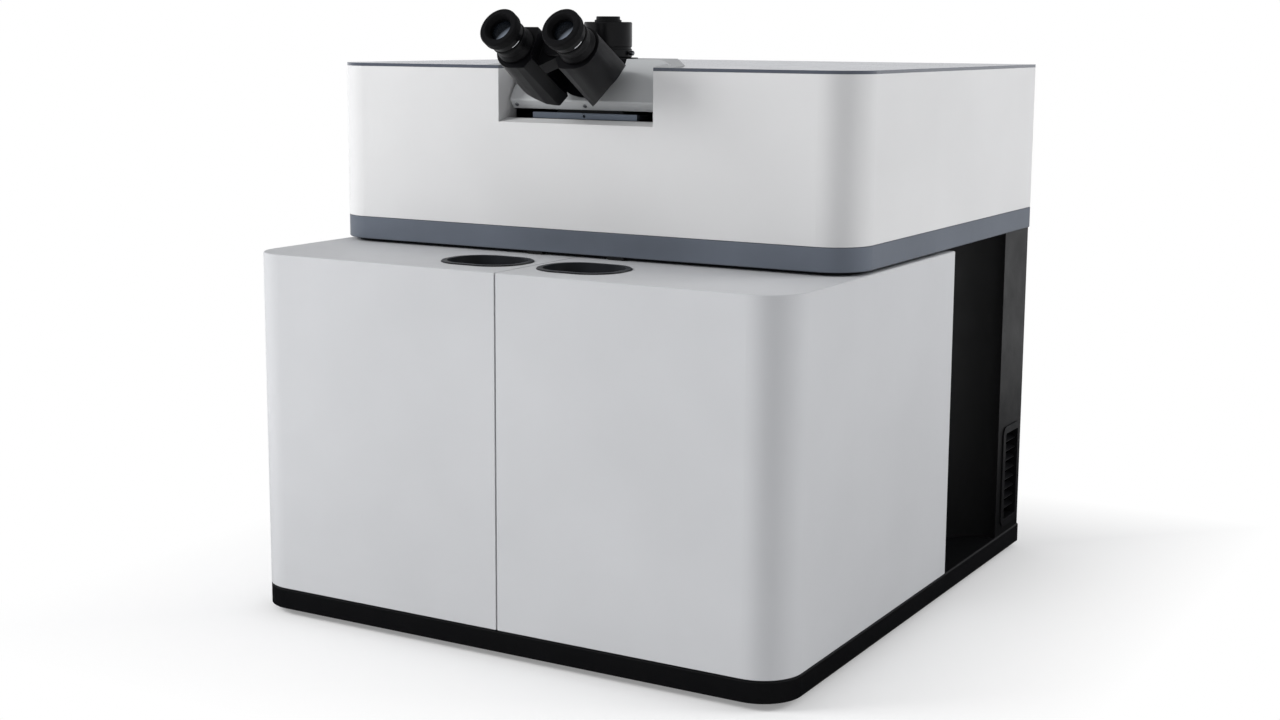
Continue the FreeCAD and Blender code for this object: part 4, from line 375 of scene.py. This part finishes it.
def dress_head():
    """Binocular head with its photo tube."""
    dress(moulded("black_crackle_paint", "#0c0c0f", roughness=0.42, grain=0.45 * MM, depth=0.05 * MM,
                  wear=0.3), "head_body", "prism_housing_left", "prism_housing_right")
    dress(moulded("black_tube_paint", "#08080a", roughness=0.33, grain=0.8 * MM, depth=0.015 * MM,
                  wear=0.3), "photo_tube", "eyepiece_left", "eyepiece_right")
    dress(moulded("black_ring_plastic", "#09090b", roughness=0.42, grain=0.9 * MM, depth=0.01 * MM,
                  wear=0.4), "photo_cap", "diopter_ring_left", "diopter_ring_right")
    dress(soft_rubber("eyecup_rubber", "#09090b"), "eyecup_left", "eyecup_right")
    dress(eye_lens_with_painted_highlight("eye_lens_painted_highlight"), "eye_lens_left", "eye_lens_right")


def dress_works():
    """Stage, optics, motors, fittings of the back, and the small steel parts."""
    dress(moulded("black_moulded_plastic", "#0e0e10", roughness=0.42, grain=0.8 * MM, depth=0.03 * MM,
                  wear=0.25),
          "side_vents", "mains_inlet", "power_switch_frame", "fan_frame", "fan_rotor", "door_catches")
    dress(moulded("rocker_plastic", "#0b0b0c", roughness=0.25, grain=1.2 * MM, depth=0.01 * MM, wear=0.4),
          "power_rocker")
    dress(moulded("motor_black", "#121214", roughness=0.45, grain=1.0 * MM, depth=0.03 * MM, wear=0.3),
          "z_motor", "y_motor", "x_motor", "detector_camera")
    dress(anodised("slider_anodised", "#6d7580", roughness=0.4, metallic=0.8), "filter_slider")
    dress(anodised("black_anodised", "#17181a", roughness=0.42, metallic=0.5, grain_axis=2),
          "frame_posts", "focus_column", "nosepiece_mount", "beam_tower", "spectrograph_case",
          "mirror_mounts", "grating_drive", "y_carriage", "x_carriage", "nosepiece_turret")
    dress(anodised("milled_aluminium", "#b9bbbe", roughness=0.34, metallic=1.0),
          "z_carriage", "sample_holder", "laser_modules", "grating_turret")
    dress(turned_steel("satin_chrome", "#c6c7c9", roughness=0.24), "objectives", "door_hinge_pins")
    dress(turned_steel("zinc_plated_steel", "#a9adb0", roughness=0.4),
          "fan_guard", "power_supply", "data_port")
    dress(turned_steel("screw_steel", "#8f9195", roughness=0.3),
          "rear_panel_screws", "cowl_screws", "photo_lock_screw")


# Pieces that the scene adds


def new_piece(name, build, material, body):
    """A closed mesh made by build(bm), riding on a body."""
    mesh = bpy.data.meshes.new(name)
    bm = bmesh.new()
    build(bm)
    bmesh.ops.recalc_face_normals(bm, faces=bm.faces)
    bm.to_mesh(mesh)
    bm.free()
    piece = bpy.data.objects.new(name, mesh)
    bpy.context.scene.collection.objects.link(piece)
    piece.data.materials.append(material)
    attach(piece, body)


def outline_face(bm, corners):
    """A flat face, from which an operator makes the solid."""
    return bm.faces.new([bm.verts.new(corner) for corner in corners])


def ledge(bm):
    """Sill of the notch: it rises from the housing's front to just under the slider's bar."""
    house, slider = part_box("upper_housing"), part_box("filter_slider")
    front = house[0][1] + LEDGE_BEHIND_FRONT
    rear = slider[0][1] - LEDGE_BEFORE_SLIDER
    top = slider[0][2] - LEDGE_UNDER_SLIDER
    low = slider[0][2] - LEDGE_RISE - LEDGE_LIP / 2
    profile = ((front, low), (rear, low), (rear, top), (front, low + LEDGE_LIP))
    end = outline_face(bm, [(-LEDGE_HALF_WIDTH, y, z) for y, z in profile])
    grown = bmesh.ops.extrude_face_region(bm, geom=[end])["geom"]
    bmesh.ops.translate(bm, vec=(2 * LEDGE_HALF_WIDTH, 0, 0),
                        verts=[item for item in grown if isinstance(item, bmesh.types.BMVert)])


def head_point(x, s, n):
    """A point of the head: x across, s down the tubes from the eyecups' front, n across the tubes."""
    low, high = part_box("eyecup_right")
    front_y = low[1] + (EYECUP_RADIUS - EYECUP_EDGE) * ACROSS_TUBE.y
    front_z = high[2] - EYECUP_RADIUS * ACROSS_TUBE.z - EYECUP_EDGE * ALONG_TUBE.z
    return Vector((x, front_y, front_z)) + ALONG_TUBE * s + ACROSS_TUBE * n


def tube_x(side):
    """How far the barrel's axis lies to the right of the middle."""
    low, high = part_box("eyepiece_" + side)
    return (low[0] + high[0]) / 2


def index_arc(bm, side):
    """Short painted arc round a barrel: its thin section spun about the barrel's axis."""
    half = INDEX_LENGTH / 2 / BARREL_RADIUS
    start = INDEX_TURN - half
    low, high = BARREL_RADIUS - INDEX_SINK, BARREL_RADIUS + INDEX_LIFT
    section = ((low, 0), (low, INDEX_WIDTH), (high, INDEX_WIDTH), (high, 0))
    end = outline_face(bm, [head_point(tube_x(side) + radius * math.sin(start), INDEX_PLACE + s,
                                       radius * math.cos(start)) for radius, s in section])
    bmesh.ops.spin(bm, geom=[end, *end.edges, *end.verts], cent=head_point(tube_x(side), INDEX_PLACE, 0),
                   axis=ALONG_TUBE, angle=2 * half, steps=INDEX_STEPS, use_duplicate=False)


def add_pieces():
    """The notch's sill and the index mark of each barrel."""
    new_piece("notch_ledge", ledge, powder_coat("ledge_powder_coat", "#dfdfdf"), "chassis")
    white_enamel = enamel("white_enamel", "#e9ebee")
    for side in ("right", "left"):
        new_piece("index_mark_" + side, lambda bm, side=side: index_arc(bm, side),
                  white_enamel, "prism_" + side)


# Studio


def camera():
    """The photograph's camera."""
    data = bpy.data.cameras.new("photo_camera")
    data.sensor_width = SENSOR_WIDTH
    data.lens = FOCAL_PX / IMAGE_WIDTH_PX * SENSOR_WIDTH
    data.shift_y = CAMERA_SHIFT
    data.clip_end = CAMERA_REACH
    seat = bpy.data.objects.new("photo_camera", data)
    level = Matrix.Rotation(CAMERA_YAW, 4, "Z") @ Matrix.Rotation(math.radians(90) - CAMERA_PITCH, 4, "X")
    seat.matrix_world = Matrix.Translation(CAMERA_PLACE) @ level @ Matrix.Rotation(CAMERA_ROLL, 4, "Z")
    bpy.context.scene.collection.objects.link(seat)
    bpy.context.scene.camera = seat


def seen_directly(tree):
    """1 where the camera sees a surface itself or through glass, and 0 where it only gives light."""
    by_camera = add(tree, "ShaderNodeLightPath", output="Is Camera Ray")
    through_glass = add(tree, "ShaderNodeLightPath", output="Is Transmission Ray")
    return add(tree, "ShaderNodeMath", {0: by_camera, 1: through_glass}, operation="MAXIMUM")


def off_the_object(tree, place):
    """How far a point of the floor lies outside the object's footprint."""
    beside = []
    for axis, width in zip("XY", FOOTPRINT):
        along = add(tree, "ShaderNodeSeparateXYZ", {"Vector": place}, axis)
        size = add(tree, "ShaderNodeMath", {0: along}, operation="ABSOLUTE")
        beside.append(add(tree, "ShaderNodeMath", {0: size, 1: width / 2}, operation="SUBTRACT"))
    return add(tree, "ShaderNodeMath", {0: beside[0], 1: beside[1]}, operation="MAXIMUM")


def white_floor():
    """Pale floor that keeps the object's shadow and goes to plain white further out."""
    mesh = bpy.data.meshes.new("floor")
    bm = bmesh.new()
    bmesh.ops.create_grid(bm, x_segments=2, y_segments=2, size=FLOOR_HALF_WIDTH)
    bm.to_mesh(mesh)
    bm.free()
    floor = bpy.data.objects.new("floor", mesh)
    bpy.context.scene.collection.objects.link(floor)
    material, tree, place = begin("white_floor")
    away = off_the_object(tree, place)
    glowing = add(tree, "ShaderNodeMapRange", {"Value": away, "From Min": 0.0, "From Max": SHADOW_REACH,
                                               "To Min": SHADOW_GLOW, "To Max": 1.0})
    share = add(tree, "ShaderNodeMath", {0: glowing, 1: seen_directly(tree)}, operation="MULTIPLY")
    near = add(tree, "ShaderNodeMapRange", {"Value": away, "From Min": MIRROR_DARK_TO,
                                            "From Max": MIRROR_PALE_FROM, "To Min": 1.0, "To Max": 0.0})
    in_mirror = add(tree, "ShaderNodeLightPath", output="Is Glossy Ray")
    mirrored = add(tree, "ShaderNodeMath", {0: near, 1: in_mirror}, operation="MULTIPLY")
    shade = add(tree, "ShaderNodeMix", {SHARE: mirrored, FIRST: linear("#fdfdfd"),
                                        SECOND: linear("#202022")}, MIXED, data_type="RGBA")
    matt = add(tree, "ShaderNodeBsdfDiffuse", {"Color": shade})
    glow = add(tree, "ShaderNodeEmission", {"Color": WHITE, "Strength": 1.0})
    surface = add(tree, "ShaderNodeMixShader", {0: share, 1: matt, 2: glow})
    add(tree, "ShaderNodeOutputMaterial", {"Surface": surface})
    mesh.materials.append(material)


def white_world():
    """Soft even light: plain white to the camera, and in reflections a pale horizon under a dim sky."""
    world = bpy.data.worlds.new("studio")
    world.use_nodes = True
    tree = world.node_tree
    tree.nodes.clear()
    direction = add(tree, "ShaderNodeTexCoord", output="Generated")
    height = add(tree, "ShaderNodeSeparateXYZ", {"Vector": direction}, "Z")
    mirrored = add(tree, "ShaderNodeMapRange", {"Value": height, "From Min": HORIZON_TOP,
                                                "From Max": SKY_FROM, "To Min": HORIZON_LEVEL,
                                                "To Max": SKY_LEVEL})
    in_mirror = add(tree, "ShaderNodeLightPath", output="Is Glossy Ray")
    level = add(tree, "ShaderNodeMix", {0: in_mirror, 2: WORLD_LEVEL, 3: mirrored}, data_type="FLOAT")
    soft = add(tree, "ShaderNodeBackground", {"Color": linear("#fbfcff"), "Strength": level})
    white = add(tree, "ShaderNodeBackground", {"Color": WHITE, "Strength": 1.0})
    surface = add(tree, "ShaderNodeMixShader", {0: seen_directly(tree), 1: soft, 2: white})
    add(tree, "ShaderNodeOutputWorld", {"Surface": surface})
    bpy.context.scene.world = world


def lamps():
    """Two soft lamps, kept out of reflections, where the glossy lid would show them as white patches."""
    for name, place, target, size, power in LAMPS:
        data = bpy.data.lights.new(name, "AREA")
        data.shape = "RECTANGLE"
        data.size, data.size_y = size
        data.energy = power
        seat = bpy.data.objects.new(name, data)
        seat.location = place
        seat.visible_glossy = False
        seat.rotation_euler = (Vector(target) - Vector(place)).to_track_quat("-Z", "Y").to_euler()
        bpy.context.scene.collection.objects.link(seat)


def studio():
    bpy.context.scene.view_settings.view_transform = "Standard"
    camera()
    white_floor()
    white_world()
    lamps()


dress_case()
dress_head()
dress_works()
add_pieces()
studio()
